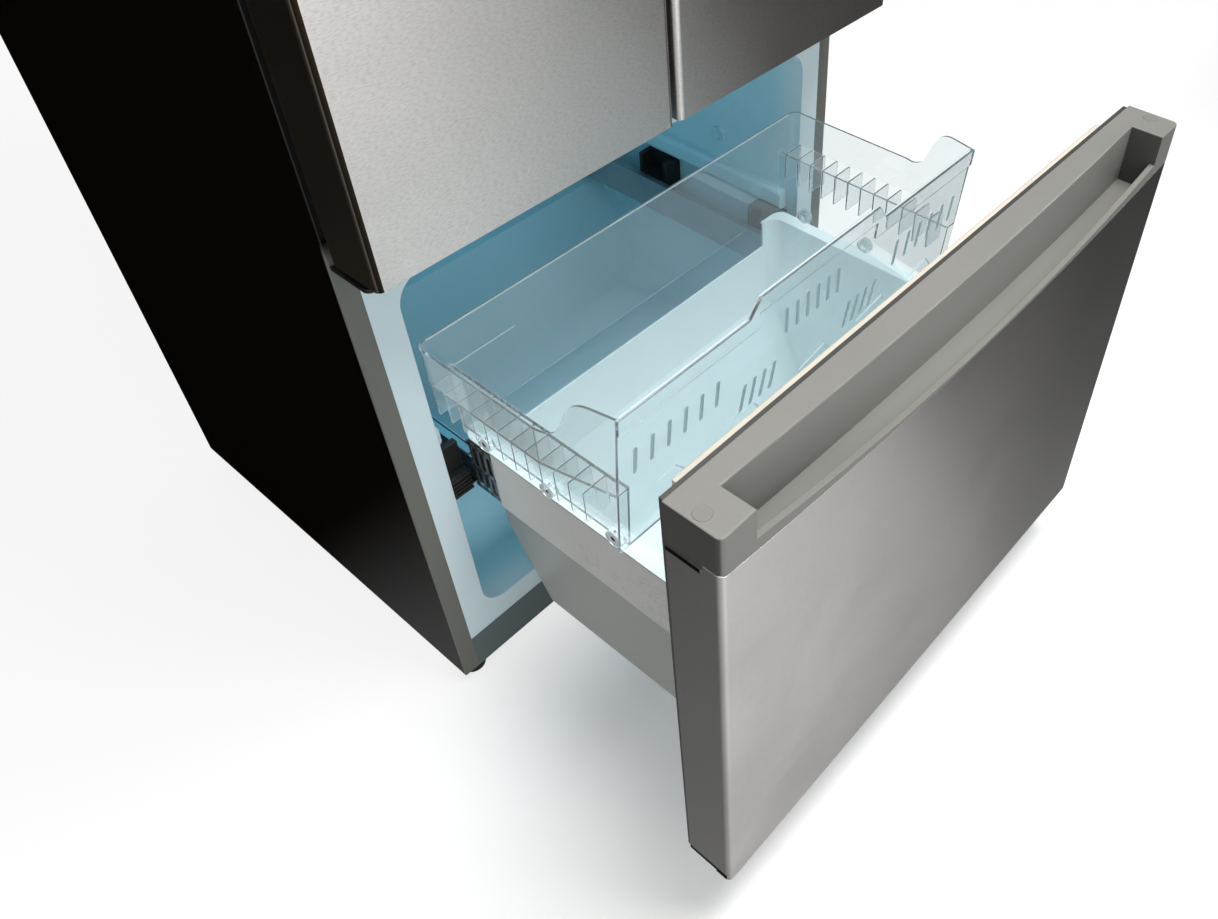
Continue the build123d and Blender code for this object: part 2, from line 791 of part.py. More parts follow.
with BuildPart() as power_inlet:
    block(inlet_xs, (panel_back - inlet_depth, panel_back), inlet_zs)
    cut(
        (inlet_x - inlet_socket[0] / 2, inlet_x + inlet_socket[0] / 2),
        (panel_back - inlet_socket[2], panel_back),
        (inlet_z - inlet_socket[1] / 2, inlet_z + inlet_socket[1] / 2),
    )
    for step in (-1, 0, 1):
        pin_x = inlet_x + inlet_pin_pitch * step
        block(
            (pin_x - inlet_pin_half[0], pin_x + inlet_pin_half[0]),
            (panel_back - inlet_socket[2], panel_back - inlet_pin_short),
            (inlet_z - inlet_pin_half[1], inlet_z + inlet_pin_half[1]),
        )
save(power_inlet.part, "power_inlet")

# ---- Freezer: evaporator, its fan and its cover ----
cover_front = freezer_depth - 75.0
evap_front = cover_front + 20.0
evap_half = cavity_half - 112.0
evap_z = (hump_top + 18.0, hump_top + 210.0)
evap_fins = 26
evap_rows = 5
evap_tubes = (evap_front + 15.0, evap_front + 40.0)
evap_end = 12.0
with BuildPart() as evaporator:
    for step in range(evap_fins):
        x = -evap_half + 2 * evap_half * step / (evap_fins - 1)
        block((x - fin_half, x + fin_half), (evap_front, freezer_depth), evap_z)
    for row in range(evap_rows):
        for y in evap_tubes:
            height = evap_z[0] + coil_row_pitch * (row + 0.5)
            rod_x((-evap_half - evap_end, evap_half + evap_end), y, height, tube_radius)
    for x in (-evap_half - evap_end, evap_half + evap_end):
        block(
            (x - end_plate_half, x + end_plate_half),
            (evap_front + 2 * end_plate_half, freezer_depth),
            (hump_top, evap_z[1]),
        )
save(evaporator.part, "evaporator")

evap_fan_y = cover_front + 32.0
evap_fan_z = freezer_ceiling - 88.0
evap_fan_reach = 50.0
evap_fan_hub = 16.0
evap_fan_depth = 18.0
evap_motor_radius = 22.0
evap_motor_gap = 15.0
evap_strap_half = 62.0
evap_strap_height = 12.0
with BuildPart() as evaporator_fan:
    with Locations(Location((0, evap_fan_y, evap_fan_z), (90, 0, 0))):
        add(fan_wheel(evap_fan_hub, evap_fan_reach, evap_fan_depth))
    bore = (evap_fan_y - evap_fan_depth / 3, evap_fan_y + evap_fan_depth)
    rod_y(0, bore, evap_fan_z, fan_shaft + pin_gap, Mode.SUBTRACT)
save(evaporator_fan.part, "evaporator_fan")

with BuildPart() as evaporator_fan_motor:
    rod_y(0, (evap_fan_y + evap_motor_gap, freezer_depth), evap_fan_z, evap_motor_radius)
    rod_y(0, (evap_fan_y - evap_fan_depth / 3 + rest_gap, freezer_depth), evap_fan_z, fan_shaft)
    block(
        (-evap_strap_half, evap_strap_half),
        (freezer_depth - plate, freezer_depth),
        (evap_fan_z - evap_strap_height, evap_fan_z + evap_strap_height),
    )
save(evaporator_fan_motor.part, "evaporator_fan_motor")

cover_half = cavity_half - rest_gap
fan_grille_half = 42.0
fan_grille_slot = 7.0
fan_grille_pitch = 14.0
fan_grille_count = 6
return_x = 190.0
return_z = hump_top + 36.0
return_slot = (12.0, 44.0)
return_pitch = 22.0
return_count = 8
with BuildPart() as evaporator_cover:
    cover_top = freezer_ceiling - freezer_corner
    block((-cover_half, cover_half), (cover_front, cover_front + plate), (hump_top, cover_top))
    block(
        (-cavity_half + freezer_corner, cavity_half - freezer_corner),
        (cover_front, cover_front + plate),
        (freezer_ceiling - freezer_corner, freezer_ceiling),
    )
    for step in range(fan_grille_count):
        height = evap_fan_z + fan_grille_pitch * (step - (fan_grille_count - 1) / 2)
        cut(
            (-fan_grille_half, fan_grille_half),
            (cover_front - through, cover_front + through),
            (height - fan_grille_slot / 2, height + fan_grille_slot / 2),
        )
    for side in (-1, 1):
        for step in range(return_count):
            x = side * return_x + return_pitch * (step - (return_count - 1) / 2)
            cut(
                (x - return_slot[0] / 2, x + return_slot[0] / 2),
                (cover_front - through, cover_front + through),
                (return_z - return_slot[1] / 2, return_z + return_slot[1] / 2),
            )
save(evaporator_cover.part, "evaporator_cover")

# ---- Refrigerator inside: air duct, lamp, shelves and crispers ----
duct_low = fridge_floor + duct_foot
duct_high = fridge_ceiling - duct_head
duct_groups = 4
duct_group_slots = 3
duct_group_pitch = (duct_high - duct_low) / duct_groups
with BuildPart() as air_duct:
    block((-duct_half, duct_half), (fridge_depth - duct_depth, fridge_depth), (duct_low, duct_high))
    fillet(edges().filter_by(Axis.Z).group_by(Axis.Y)[0], duct_corner)
    for place in range(duct_groups):
        for slot in range(duct_group_slots):
            height = duct_low + duct_group_pitch * (place + 0.4) + duct_slot_pitch * slot
            for side in (-1, 1):
                cut(
                    on_side(side, duct_slot[0], duct_slot[1]),
                    (fridge_depth - duct_depth, fridge_depth - duct_depth + through),
                    (height, height + duct_slot_height),
                )
save(air_duct.part, "air_duct")

lamp_edge = 4.0
with BuildPart() as fridge_lamp:
    block((-lamp_half, lamp_half), lamp_span, (fridge_ceiling - lamp_height, fridge_ceiling))
    fillet(edges().group_by(Axis.Z)[0], lamp_edge)
save(fridge_lamp.part, "fridge_lamp")

shelf_half = cavity_half - shelf_side_gap
pane_x = (-shelf_half + shelf_band - glass_seat, shelf_half - shelf_band + glass_seat)
pane_y = (shelf_front + shelf_band - glass_seat, shelf_rear - shelf_band + glass_seat)
with BuildPart() as shelf_frames:
    for height in shelf_heights:
        block((-shelf_half, shelf_half), (shelf_front, shelf_rear), (height, height + shelf_height))
        cut(
            (-shelf_half + shelf_band, shelf_half - shelf_band),
            (shelf_front + shelf_band, shelf_rear - shelf_band),
            (height, height + shelf_height),
        )
        cut(pane_x, pane_y, (height + shelf_height - glass_thickness, height + shelf_height))
save(shelf_frames.part, "shelf_frames")

with BuildPart() as shelf_glass:
    for height in shelf_heights:
        block(pane_x, pane_y, (height + shelf_height - glass_thickness, height + shelf_height))
save(shelf_glass.part, "shelf_glass")

crisper_low = fridge_floor + rest_gap
crisper_top = shelf_heights[0] - runner_height - crisper_head
crisper_outer = cavity_half - runner - crisper_wall
crisper_rear = crisper_front + crisper_length
crisper_lip_height = 24.0
for side, name in ((-1, "left"), (1, "right")):
    with BuildPart() as crisper:
        crisper_span = on_side(side, crisper_inner, crisper_outer)
        block(crisper_span, (crisper_front, crisper_rear), (crisper_low, crisper_top))
        fillet(edges().filter_by(Axis.Z), crisper_corner)
        fillet(edges().filter_by(GeomType.LINE).group_by(Axis.Z)[0], crisper_corner)
        cut(
            on_side(side, crisper_inner + crisper_wall, crisper_outer - crisper_wall),
            (crisper_front + crisper_wall, crisper_rear - crisper_wall),
            (crisper_low + crisper_wall, crisper_top),
        )
        middle = side * (crisper_inner + crisper_outer) / 2
        lip = (middle - crisper_lip_half, middle + crisper_lip_half)
        lip_front = crisper_front - crisper_lip
        block(lip, (lip_front, crisper_front), (crisper_top - crisper_lip_height / 3, crisper_top))
        block(lip, (lip_front, lip_front + crisper_wall), (crisper_top - crisper_lip_height, crisper_top))
    save(crisper.part, f"crisper_{name}")

# ---- Hinges, covers and their pins ----
plate_corner = 8.0
hinge_screw = 6.0
hinge_screws = (40.0, 76.0)
with BuildPart() as hinges:
    foot_xs = (flange_half - hinge_width + strip, flange_half)
    plate_high = hinge_plate_low + hinge_plate
    block(foot_xs, (-plate, 0), (hinge_plate_low, hinge_plate_low + hinge_flange))
    block((foot_xs[0], half - heavy_sheet), (-hinge_reach, 0), (hinge_plate_low, plate_high))
    fillet(edges().filter_by(Axis.Z).group_by(Axis.Y)[0], plate_corner)
    post(hinge_x, hinge_y, hinge_washer, (plate_high, door_bottom - rest_gap))
    post(hinge_x, hinge_y, hinge_pin, (plate_high, door_bottom + pin_reach))
    top_xs = (half - top_plate_inset - top_plate_width, half - top_plate_inset)
    block(top_xs, top_plate, (cabinet_top, cabinet_top + hinge_plate))
    post(hinge_x, hinge_y, hinge_pin, (door_top - pin_reach, cabinet_top))
    for y in hinge_screws:
        screw_top = cabinet_top + 2 * hinge_plate
        post((top_xs[0] + top_xs[1]) / 2, y, hinge_screw, (cabinet_top + hinge_plate, screw_top))
    mirror(about=Plane.YZ)
save(hinges.part, "hinges")

cover_edge = 5.0
cover_xs = (top_xs[0] - cover_margin, top_xs[1] + cover_margin)
cover_ys = (top_plate[0] - cover_margin, top_plate[1] + cover_margin + cover_wall)
with BuildPart() as hinge_covers:
    block(cover_xs, cover_ys, (cabinet_top, cabinet_top + cover_height))
    fillet(edges().group_by(Axis.Z)[-1], cover_edge)
    cut(
        (cover_xs[0] + cover_wall, cover_xs[1] - cover_wall),
        (cover_ys[0] + cover_wall, cover_ys[1] - cover_wall),
        (cabinet_top, cabinet_top + cover_height - cover_wall),
    )
    mirror(about=Plane.YZ)
save(hinge_covers.part, "hinge_covers")

# ---- Upper doors: the right one is drawn, and the left one is its mirror ----
door_span = (door_inner_edge, half)
door_core = (door_inner_edge + sheet, inside)
socket_outer = hinge_pin + hinge_socket_wall
socket_depth = pin_reach + 4.0
socket_bore = pin_reach + 1.0
pull_x = door_inner_edge + pull_wide
pull_back = -door_face + pull_deep
with BuildPart() as right_door_skin:
    with BuildSketch(Plane.XY.offset(door_bottom)):
        wrapped(door_span, (-door_face, door_back), door_corner)
    extrude(amount=door_top - door_bottom)
    cut((door_inner_edge, pull_x), (-door_face, pull_back), (pull_low, pull_high))

with BuildPart() as right_door_trims:
    for low in (door_bottom, door_top - door_cap_height):
        with BuildSketch(Plane.XY.offset(low)):
            rounded_plan(door_core, (-door_face + sheet, door_back), door_corner - sheet, 0)
        extrude(amount=door_cap_height)
    post(hinge_x, hinge_y, socket_outer, (door_bottom, door_bottom + socket_depth))
    post(hinge_x, hinge_y, hinge_pin + pin_gap, (door_bottom, door_bottom + socket_bore), Mode.SUBTRACT)
    post(hinge_x, hinge_y, socket_outer, (door_top - socket_depth, door_top))
    post(hinge_x, hinge_y, hinge_pin + pin_gap, (door_top - socket_bore, door_top), Mode.SUBTRACT)
    # the finger pull let into the free edge: a recess that runs on behind the steel
    block((door_inner_edge, pull_x), (-door_face, pull_back), (pull_low, pull_high))
    block(
        (door_core[0], pull_x + pull_hook + pull_wall),
        (-door_face + sheet, pull_back + pull_wall),
        (pull_low, pull_high),
    )
    pull_zs = (pull_low + pull_wall, pull_high - pull_wall)
    cut((door_inner_edge, pull_x - sheet), (-door_face, pull_back), pull_zs)
    cut((door_inner_edge, pull_x + pull_hook), (-door_face + pull_nose, pull_back), pull_zs)

with BuildPart() as right_door_foam:
    with BuildSketch(Plane.XY.offset(door_bottom + door_cap_height)):
        rounded_plan(door_core, (-door_face + sheet, door_back - liner_wall), door_corner - sheet, 0)
    extrude(amount=door_top - door_bottom - 2 * door_cap_height)
    for zs in (
        (door_bottom, door_bottom + socket_depth + socket_gap),
        (door_top - socket_depth - socket_gap, door_top),
    ):
        post(hinge_x, hinge_y, socket_outer + socket_gap, zs, Mode.SUBTRACT)
    cut(
        (door_inner_edge, pull_x + pull_hook + pull_wall),
        (-door_face, pull_back + pull_wall),
        (pull_low, pull_high),
    )

dyke_edge = 5.0
dyke_x = (dyke_inner + dyke_width, dyke_outer - dyke_width)
with BuildPart() as right_door_liner:
    block(
        door_core,
        (door_back - liner_wall, door_back),
        (door_bottom + door_cap_height, door_top - door_cap_height),
    )
    block((dyke_inner, dyke_outer), (door_back, dyke_back), (dyke_low, dyke_high))
    cut(dyke_x, (door_back, dyke_back), (dyke_low + dyke_bar, dyke_high - dyke_bar))
    fillet(edges().filter_by(Axis.Z).group_by(Axis.Y)[-1], dyke_edge)

gasket_inset = 4.5
gasket_outside = 29.0
gasket_edge = 4.0
gasket_x = (door_inner_edge + gasket_inset, cavity_half + gasket_outside)
gasket_z = (divider_high + sheet, fridge_ceiling + fridge_flange - sheet)
with BuildPart() as right_door_gasket:
    block(gasket_x, (door_back, -rest_gap), gasket_z)
    cut(
        (gasket_x[0] + gasket_width, gasket_x[1] - gasket_width),
        (door_back, -rest_gap),
        (gasket_z[0] + gasket_width, gasket_z[1] - gasket_width),
    )
    fillet(edges().group_by(Axis.Y)[-1].filter_by(GeomType.LINE), gasket_edge)

with BuildPart() as right_door_bins:
    for floor in door_bin_floors:
        with BuildSketch(Plane.XY.offset(floor)):
            rounded_plan(dyke_x, (door_back, door_bin_reach), door_bin_corner, -1)
        extrude(amount=door_bin_height)
        with BuildSketch(Plane.XY.offset(floor + door_bin_wall)):
            rounded_plan(
                (dyke_x[0] + door_bin_wall, dyke_x[1] - door_bin_wall),
                (door_back + door_bin_wall, door_bin_reach - door_bin_wall),
                door_bin_corner - door_bin_wall,
                -1,
            )
        extrude(amount=door_bin_height, mode=Mode.SUBTRACT)

for piece, name in (
    (right_door_skin, "skin"),
    (right_door_trims, "trims"),
    (right_door_foam, "foam"),
    (right_door_gasket, "gasket"),
    (right_door_bins, "bins"),
    (right_door_liner, "liner"),
):
    save(piece.part, f"right_door_{name}")
    if name != "liner":
        save(mirror(piece.part, about=Plane.YZ), f"left_door_{name}")

# the left door also carries the hinged flap that closes the seam
ear_pin = 14.0              # reach of the flap's pins past its ends
ear_edge = 5.0
ear_ys = (door_back, flap_axis_y + ear_edge)
ear_xs = (-dyke_inner - dyke_width, -dyke_inner)
with BuildPart() as left_door_liner:
    add(mirror(right_door_liner.part, about=Plane.YZ))
    for ear, pin in (
        ((flap_low - flap_arm, flap_low - rest_gap), (flap_low - rest_gap, flap_low + ear_pin)),
        ((flap_high + rest_gap, flap_high + flap_arm), (flap_high - ear_pin, flap_high + rest_gap)),
    ):
        block((-dyke_inner - dyke_width / 2, flap_axis_x + ear_edge), (0, flap_axis_y + ear_edge), ear)
        block(ear_xs, ear_ys, ear)
        post(flap_axis_x, flap_axis_y, flap_pin, pin)
    block(ear_xs, ear_ys, (flap_low - flap_arm, dyke_low))
    block(ear_xs, ear_ys, (dyke_high, flap_high + flap_arm))
save(left_door_liner.part, "left_door_liner")

flap_edge = 3.0
flap_offset = 4.0           # from the flap's axis to its near face
with BuildPart() as mullion_flap:
    flap_x = flap_axis_x + flap_offset - flap_thickness
    block((flap_x, flap_x + flap_thickness), (0, flap_width), (flap_low, flap_high))
    fillet(edges().filter_by(Axis.Z), flap_edge)
    for socket in ((flap_low, flap_low + ear_pin + sheet), (flap_high - ear_pin - sheet, flap_high)):
        post(flap_axis_x, flap_axis_y, flap_pin + pin_gap, socket, Mode.SUBTRACT)
save(mullion_flap.part, "mullion_flap")


# ---- Freezer drawer front: steel skin, top cap with its finger recess, bottom cap, foam, liner ----
def arc_above(middle, end, top, reach):
    """An XZ outline from a shallow arc, low in the middle, up to a level line."""
    with BuildLine() as outline:
        ThreePointArc((-reach, end), (0, middle), (reach, end))
        Polyline((reach, end), (reach, top), (-reach, top), (-reach, end))
    make_face(outline.edges())


arc_end = drawer_top - cap_arc_end
arc_middle = drawer_top - cap_arc_middle
drawer_core = (-inside, inside)
drawer_core_y = (drawer_face + sheet, drawer_back)
with BuildPart() as drawer_skin:
    with BuildSketch(Plane.XY.offset(drawer_bottom)):
        wrapped((-half, half), (drawer_face, drawer_back), door_corner)
    extrude(amount=cap_side_low - drawer_bottom)
    with BuildSketch(Plane.XZ.offset(-drawer_face)):
        arc_above(arc_middle, arc_end, drawer_top, half)
    extrude(amount=-2 * sheet, mode=Mode.SUBTRACT)
    for side in (-1, 1):
        edge = on_side(side, inside, half)
        cut(edge, (drawer_back - slot_reach, drawer_back), (cap_side_low - slot_height, cap_side_low))
        cut(edge, (drawer_back - slot_reach, drawer_back), (drawer_bottom, drawer_bottom + bottom_slot))
save(drawer_skin.part, "drawer_skin")

with BuildPart() as drawer_bottom_cap:
    with BuildSketch(Plane.XY.offset(drawer_bottom)):
        rounded_plan(drawer_core, drawer_core_y, door_corner - sheet, 0)
    extrude(amount=door_cap_height)
save(drawer_bottom_cap.part, "drawer_bottom_cap")

with BuildPart() as drawer_foam:
    with BuildSketch(Plane.XY.offset(drawer_bottom + door_cap_height)):
        rounded_plan(drawer_core, drawer_core_y, door_corner - sheet, 0)
    extrude(amount=cap_low - drawer_bottom - door_cap_height)
save(drawer_foam.part, "drawer_foam")

plug_x = half - plug_inset
plug_y = drawer_face + plug_from_face
with BuildPart() as drawer_cap:
    with BuildSketch(Plane.XY.offset(cap_low)):
        rounded_plan(drawer_core, drawer_core_y, door_corner - sheet, 0)
    extrude(amount=cap_height)
    with BuildSketch(Plane.XY.offset(cap_side_low)):
        rounded_plan((-half, half), (drawer_face, drawer_back), door_corner, 0)
    extrude(amount=cap_side_height)
    with BuildSketch(Plane.XZ.offset(-drawer_face)):
        arc_above(arc_middle, arc_end, cap_side_low + 2 * sheet, half - door_corner)
    extrude(amount=-2 * sheet)
    with BuildSketch(Plane.XY.offset(pocket_floor)):
        pocket_rear = drawer_face + pocket_back
        with BuildLine():
            rear_left = (-pocket_half, pocket_rear)
            rear_right = (pocket_half, pocket_rear)
            ThreePointArc(rear_left, (0, pocket_rear - pocket_bow), rear_right)
            Polyline(
                rear_right,
                (pocket_half, drawer_face + lip_thickness),
                (-pocket_half, drawer_face + lip_thickness),
                rear_left,
            )
        make_face()
    extrude(amount=pocket_depth, mode=Mode.SUBTRACT)
    with BuildSketch(Plane.XZ.offset(-drawer_face)):
        arc_above(drawer_top - lip_middle, drawer_top - lip_end, drawer_top, pocket_half)
    extrude(amount=-(lip_thickness + sheet), mode=Mode.SUBTRACT)
    top_edges = edges().group_by(Axis.Z)[-1]
    fillet(top_edges.filter_by(lambda edge: edge.center().Y < drawer_back - sheet), cap_edge)
    for side in (-1, 1):
        plug_hole = plug_radius + 2 * pin_gap
        post(side * plug_x, plug_y, plug_hole, (drawer_top - plug_depth, drawer_top), Mode.SUBTRACT)
save(drawer_cap.part, "drawer_cap")

with BuildPart() as screw_plugs:
    for side in (-1, 1):
        post(side * plug_x, plug_y, plug_radius, (drawer_top - plug_depth, drawer_top + plug_proud))
    fillet(edges().filter_by(GeomType.CIRCLE).group_by(Axis.Z)[-1], plug_proud)
save(screw_plugs.part, "screw_plugs")

liner_half = half - drawer_liner_inset
liner_margin = 2.0
plug_half = cavity_half - 12.0
plug_margin = 14.0
plug_edge = 3.0
with BuildPart() as drawer_liner:
    block(
        (-liner_half, liner_half),
        (drawer_back, liner_back),
        (drawer_bottom + liner_margin, drawer_top - liner_margin),
    )
    block(
        (-plug_half, plug_half),
        (liner_back, plug_back),
        (freezer_floor + plug_margin, freezer_ceiling - plug_margin),
    )
    fillet(edges().group_by(Axis.Y)[-1], plug_edge)
save(drawer_liner.part, "drawer_liner")

seal_half = cavity_half + 27.0
seal_low = drawer_bottom + liner_margin
seal_high = divider_low + 12.0
seal_back = drawer_back + door_face - drawer_thickness - rest_gap
with BuildPart() as drawer_gasket:
    block((-seal_half, seal_half), (liner_back, seal_back), (seal_low, seal_high))
    cut(
        (-seal_half + gasket_width, seal_half - gasket_width),
        (liner_back, seal_back),
        (seal_low + gasket_width, seal_high - gasket_width),
    )
    fillet(edges().group_by(Axis.Y)[-1], gasket_edge)
save(drawer_gasket.part, "drawer_gasket")

# ---- Telescopic runners: bracket and fixed rail on the cabinet, middle member, drawer rail and panel ----
bracket_top = rail_low - bracket_drop
bracket_shelf = (bracket_top - heavy_sheet, bracket_top)
with BuildPart() as rail_brackets:
    rail_span = (rail_front, rail_rear)
    block((cavity_half - heavy_sheet, cavity_half), rail_span, (bracket_top - bracket_flange, bracket_top))
    block((rail_x - heavy_sheet, cavity_half), rail_span, bracket_shelf)
    block((rail_x - heavy_sheet, rail_x), rail_span, (bracket_shelf[0], rail_high + heavy_sheet))
    mirror(about=Plane.YZ)
save(rail_brackets.part, "rail_brackets")

with BuildPart() as fixed_rails:
    channel(rail_x, rail_x + rail_lip, rail_low, rail_high, (rail_front, rail_rear))
    mirror(about=Plane.YZ)
save(fixed_rails.part, "fixed_rails")

middle_low = rail_low + rail_sheet + sliding_gap
middle_high = rail_high - rail_sheet - sliding_gap
middle_x = rail_x + rail_sheet + sliding_gap
middle_front = rail_front - drawer_open / 2
middle_slots = int((middle_length - middle_slot) // middle_slot_pitch) + 1
middle_margin = 12.0
middle_first = (middle_length - middle_slot - middle_slot_pitch * (middle_slots - 1)) / 2
with BuildPart() as slide_middle_right:
    middle_span = (middle_front, middle_front + middle_length)
    channel(middle_x, middle_x + middle_lip, middle_low, middle_high, middle_span)
    for step in range(middle_slots):
        y = middle_front + middle_first + middle_slot_pitch * step
        cut(
            (middle_x - sheet, middle_x + 2 * rail_sheet),
            (y, y + middle_slot),
            (middle_low + middle_margin, middle_high - middle_margin),
        )
save(slide_middle_right.part, "slide_middle_right")
save(mirror(slide_middle_right.part, about=Plane.YZ), "slide_middle_left")

inner_low = middle_low + rail_sheet + sliding_gap
inner_high = middle_high - rail_sheet - sliding_gap
inner_tip = middle_x + rail_sheet + 3 * sliding_gap
inner_rear = middle_front + middle_length - drawer_open / 2 - inner_rail_short
with BuildPart() as drawer_rails:
    channel(panel_inside, inner_tip, inner_low, inner_high, (plug_back, inner_rear))
    mirror(about=Plane.YZ)
save(drawer_rails.part, "drawer_rails")

flange_tip = panel_outside - panel_flange
tab_gap = 4.0
with BuildPart() as side_panels:
    block((panel_inside, panel_outside), (plug_back, panel_rear), (panel_low, panel_high))
    block((flange_tip, panel_outside), (plug_back, panel_rear), (panel_high - heavy_sheet, panel_high))
    tab_depth = (plug_back, plug_back + heavy_sheet)
    block((flange_tip, panel_inside), tab_depth, (inner_high + tab_gap, panel_high))
    mirror(about=Plane.YZ)
save(side_panels.part, "side_panels")

guide_reach = cavity_half - panel_outside - guide_gap
guide_low = panel_high - guide_drop - guide_height
with BuildPart() as slide_guides:
    for ys in guide_spans:
        block((cavity_half - guide_reach, cavity_half), ys, (guide_low, guide_low + guide_height))
        cut(
            (cavity_half - guide_reach, cavity_half - guide_wall),
            (ys[0] + guide_wall, ys[1] - guide_wall),
            (guide_low + guide_wall, guide_low + guide_height),
        )
    mirror(about=Plane.YZ)
save(slide_guides.part, "slide_guides")

# ---- Deep bin that hangs by its rim on the side panels ----
slope_foot = bin_rear - bin_slope_run


def bin_shape(inset):
    """The bin's outside, or with an inset its hollow: tapered, with the foot of its back sloped."""
    with BuildPart() as shape:
        with BuildSketch(Plane.XY.offset(rim_high)):
            with Locations((0, (bin_front + bin_rear) / 2)):
                Rectangle(2 * (bin_half - inset), bin_length - 2 * inset)
            fillet(vertices(), bin_corner - inset)
        extrude(amount=-(rim_high - bin_bottom - inset), taper=bin_taper)
        with BuildSketch(Plane.YZ.offset(-half)):
            with BuildLine():
                Polyline(
                    (bin_rear - inset, bin_slope_top),
                    (slope_foot - inset, bin_bottom),
                    (slope_foot - inset, bin_bottom - beyond),
                    (bin_rear + beyond, bin_bottom - beyond),
                    (bin_rear + beyond, bin_slope_top),
                    close=True,
                )
            make_face()
        extrude(amount=width, mode=Mode.SUBTRACT)
    return shape.part


notch_half = bin_half - bin_rear_post
with BuildPart() as deep_bin:
    add(bin_shape(0))
    with BuildSketch(Plane.XY.offset(panel_high)):
        with Locations((0, (bin_front + bin_rear) / 2)):
            Rectangle(2 * panel_outside, bin_length + 2 * bin_rim)
        fillet(vertices(), bin_corner)
    extrude(amount=bin_wall)
    add(bin_shape(bin_wall), mode=Mode.SUBTRACT)
    cut(
        (-notch_half, notch_half),
        (bin_rear - bin_corner - bin_rim, bin_rear + beyond),
        (rim_high - bin_rear_drop, rim_high),
    )
save(deep_bin.part, "deep_bin")

# ---- Clear tray that slides on the bin's rim ----
panel_foot_y = tray_rear - tray_length
panel_rise = tray_raised_top - tray_foot
panel_head_y = panel_foot_y - tray_lean * panel_rise / (tray_front_top - tray_foot)
shoulder_y = tray_rear - tray_shoulder
ramp_front = panel_foot_y + tray_ramp_margin[0]
ramp_rear = shoulder_y - tray_ramp_margin[1]
glide_z = rim_high + rest_gap + glide_radius


def leaning(gap, thickness, low, high):
    """The YZ outline of a slab that leans with the front panel, set back from its face by a gap."""
    with BuildLine() as outline:
        points = []
        for height, inner in ((low, 0), (high, 0), (high, thickness), (low, thickness)):
            share = (height - tray_foot) / panel_rise
            y = panel_foot_y + (panel_head_y - panel_foot_y) * share
            points.append((y + gap + inner, height))
        Polyline(*points, close=True)
    make_face(outline.edges())


def tray_plan(inset):
    """The tray's plan above its ledge: wide at the back, drawn in to the front panel."""
    with BuildLine() as outline:
        Polyline(
            (-tray_front_half, panel_foot_y - tray_lean),
            (tray_front_half, panel_foot_y - tray_lean),
            (tray_half, shoulder_y),
            (tray_half, tray_rear),
            (-tray_half, tray_rear),
            (-tray_half, shoulder_y),
            close=True,
        )
    make_face(outline.edges())
    fillet(vertices().group_by(Axis.Y)[-1], tray_corner)
    if inset:
        offset(amount=-inset)


def panel_outline(low):
    """The XZ outline of the front panel above a height, with its raised middle."""
    with BuildLine() as outline:
        Polyline(
            (-tray_front_half, low),
            (tray_front_half, low),
            (tray_front_half, tray_front_top),
            (tray_raised_half + tray_shoulder_run, tray_front_top),
            (tray_raised_half, tray_raised_top),
            (-tray_raised_half, tray_raised_top),
            (-tray_raised_half - tray_shoulder_run, tray_front_top),
            (-tray_front_half, tray_front_top),
            close=True,
        )
    make_face(outline.edges())


with BuildPart() as tray_front_panel:
    with BuildSketch(Plane.YZ.offset(-half)):
        leaning(0, tray_wall, tray_foot, tray_raised_top)
    extrude(amount=width)
    with BuildSketch(Plane.XZ.offset(-panel_foot_y)):
        panel_outline(tray_foot)
    extrude(amount=beyond, both=True, mode=Mode.INTERSECT)

with BuildPart() as tray_band_part:
    with BuildSketch(Plane.YZ.offset(-half)):
        leaning(tray_wall - tray_band_wall, tray_band_wall, tray_front_top - tray_band, tray_raised_top)
    extrude(amount=width)
    with BuildSketch(Plane.XZ.offset(-panel_foot_y)):
        panel_outline(tray_front_top - tray_band)
        with Locations((0, tray_front_top - tray_band)):
            Rectangle(
                2 * tray_raised_half,
                2 * tray_step,
                mode=Mode.SUBTRACT,
            )
    extrude(amount=beyond, both=True, mode=Mode.INTERSECT)

with BuildPart() as tray_ahead:
    with BuildSketch(Plane.YZ.offset(-half)):
        leaning(tray_wall / 2 - 2 * beyond, 2 * beyond, tray_foot - beyond / 6, tray_raised_top + beyond / 6)
    extrude(amount=width)

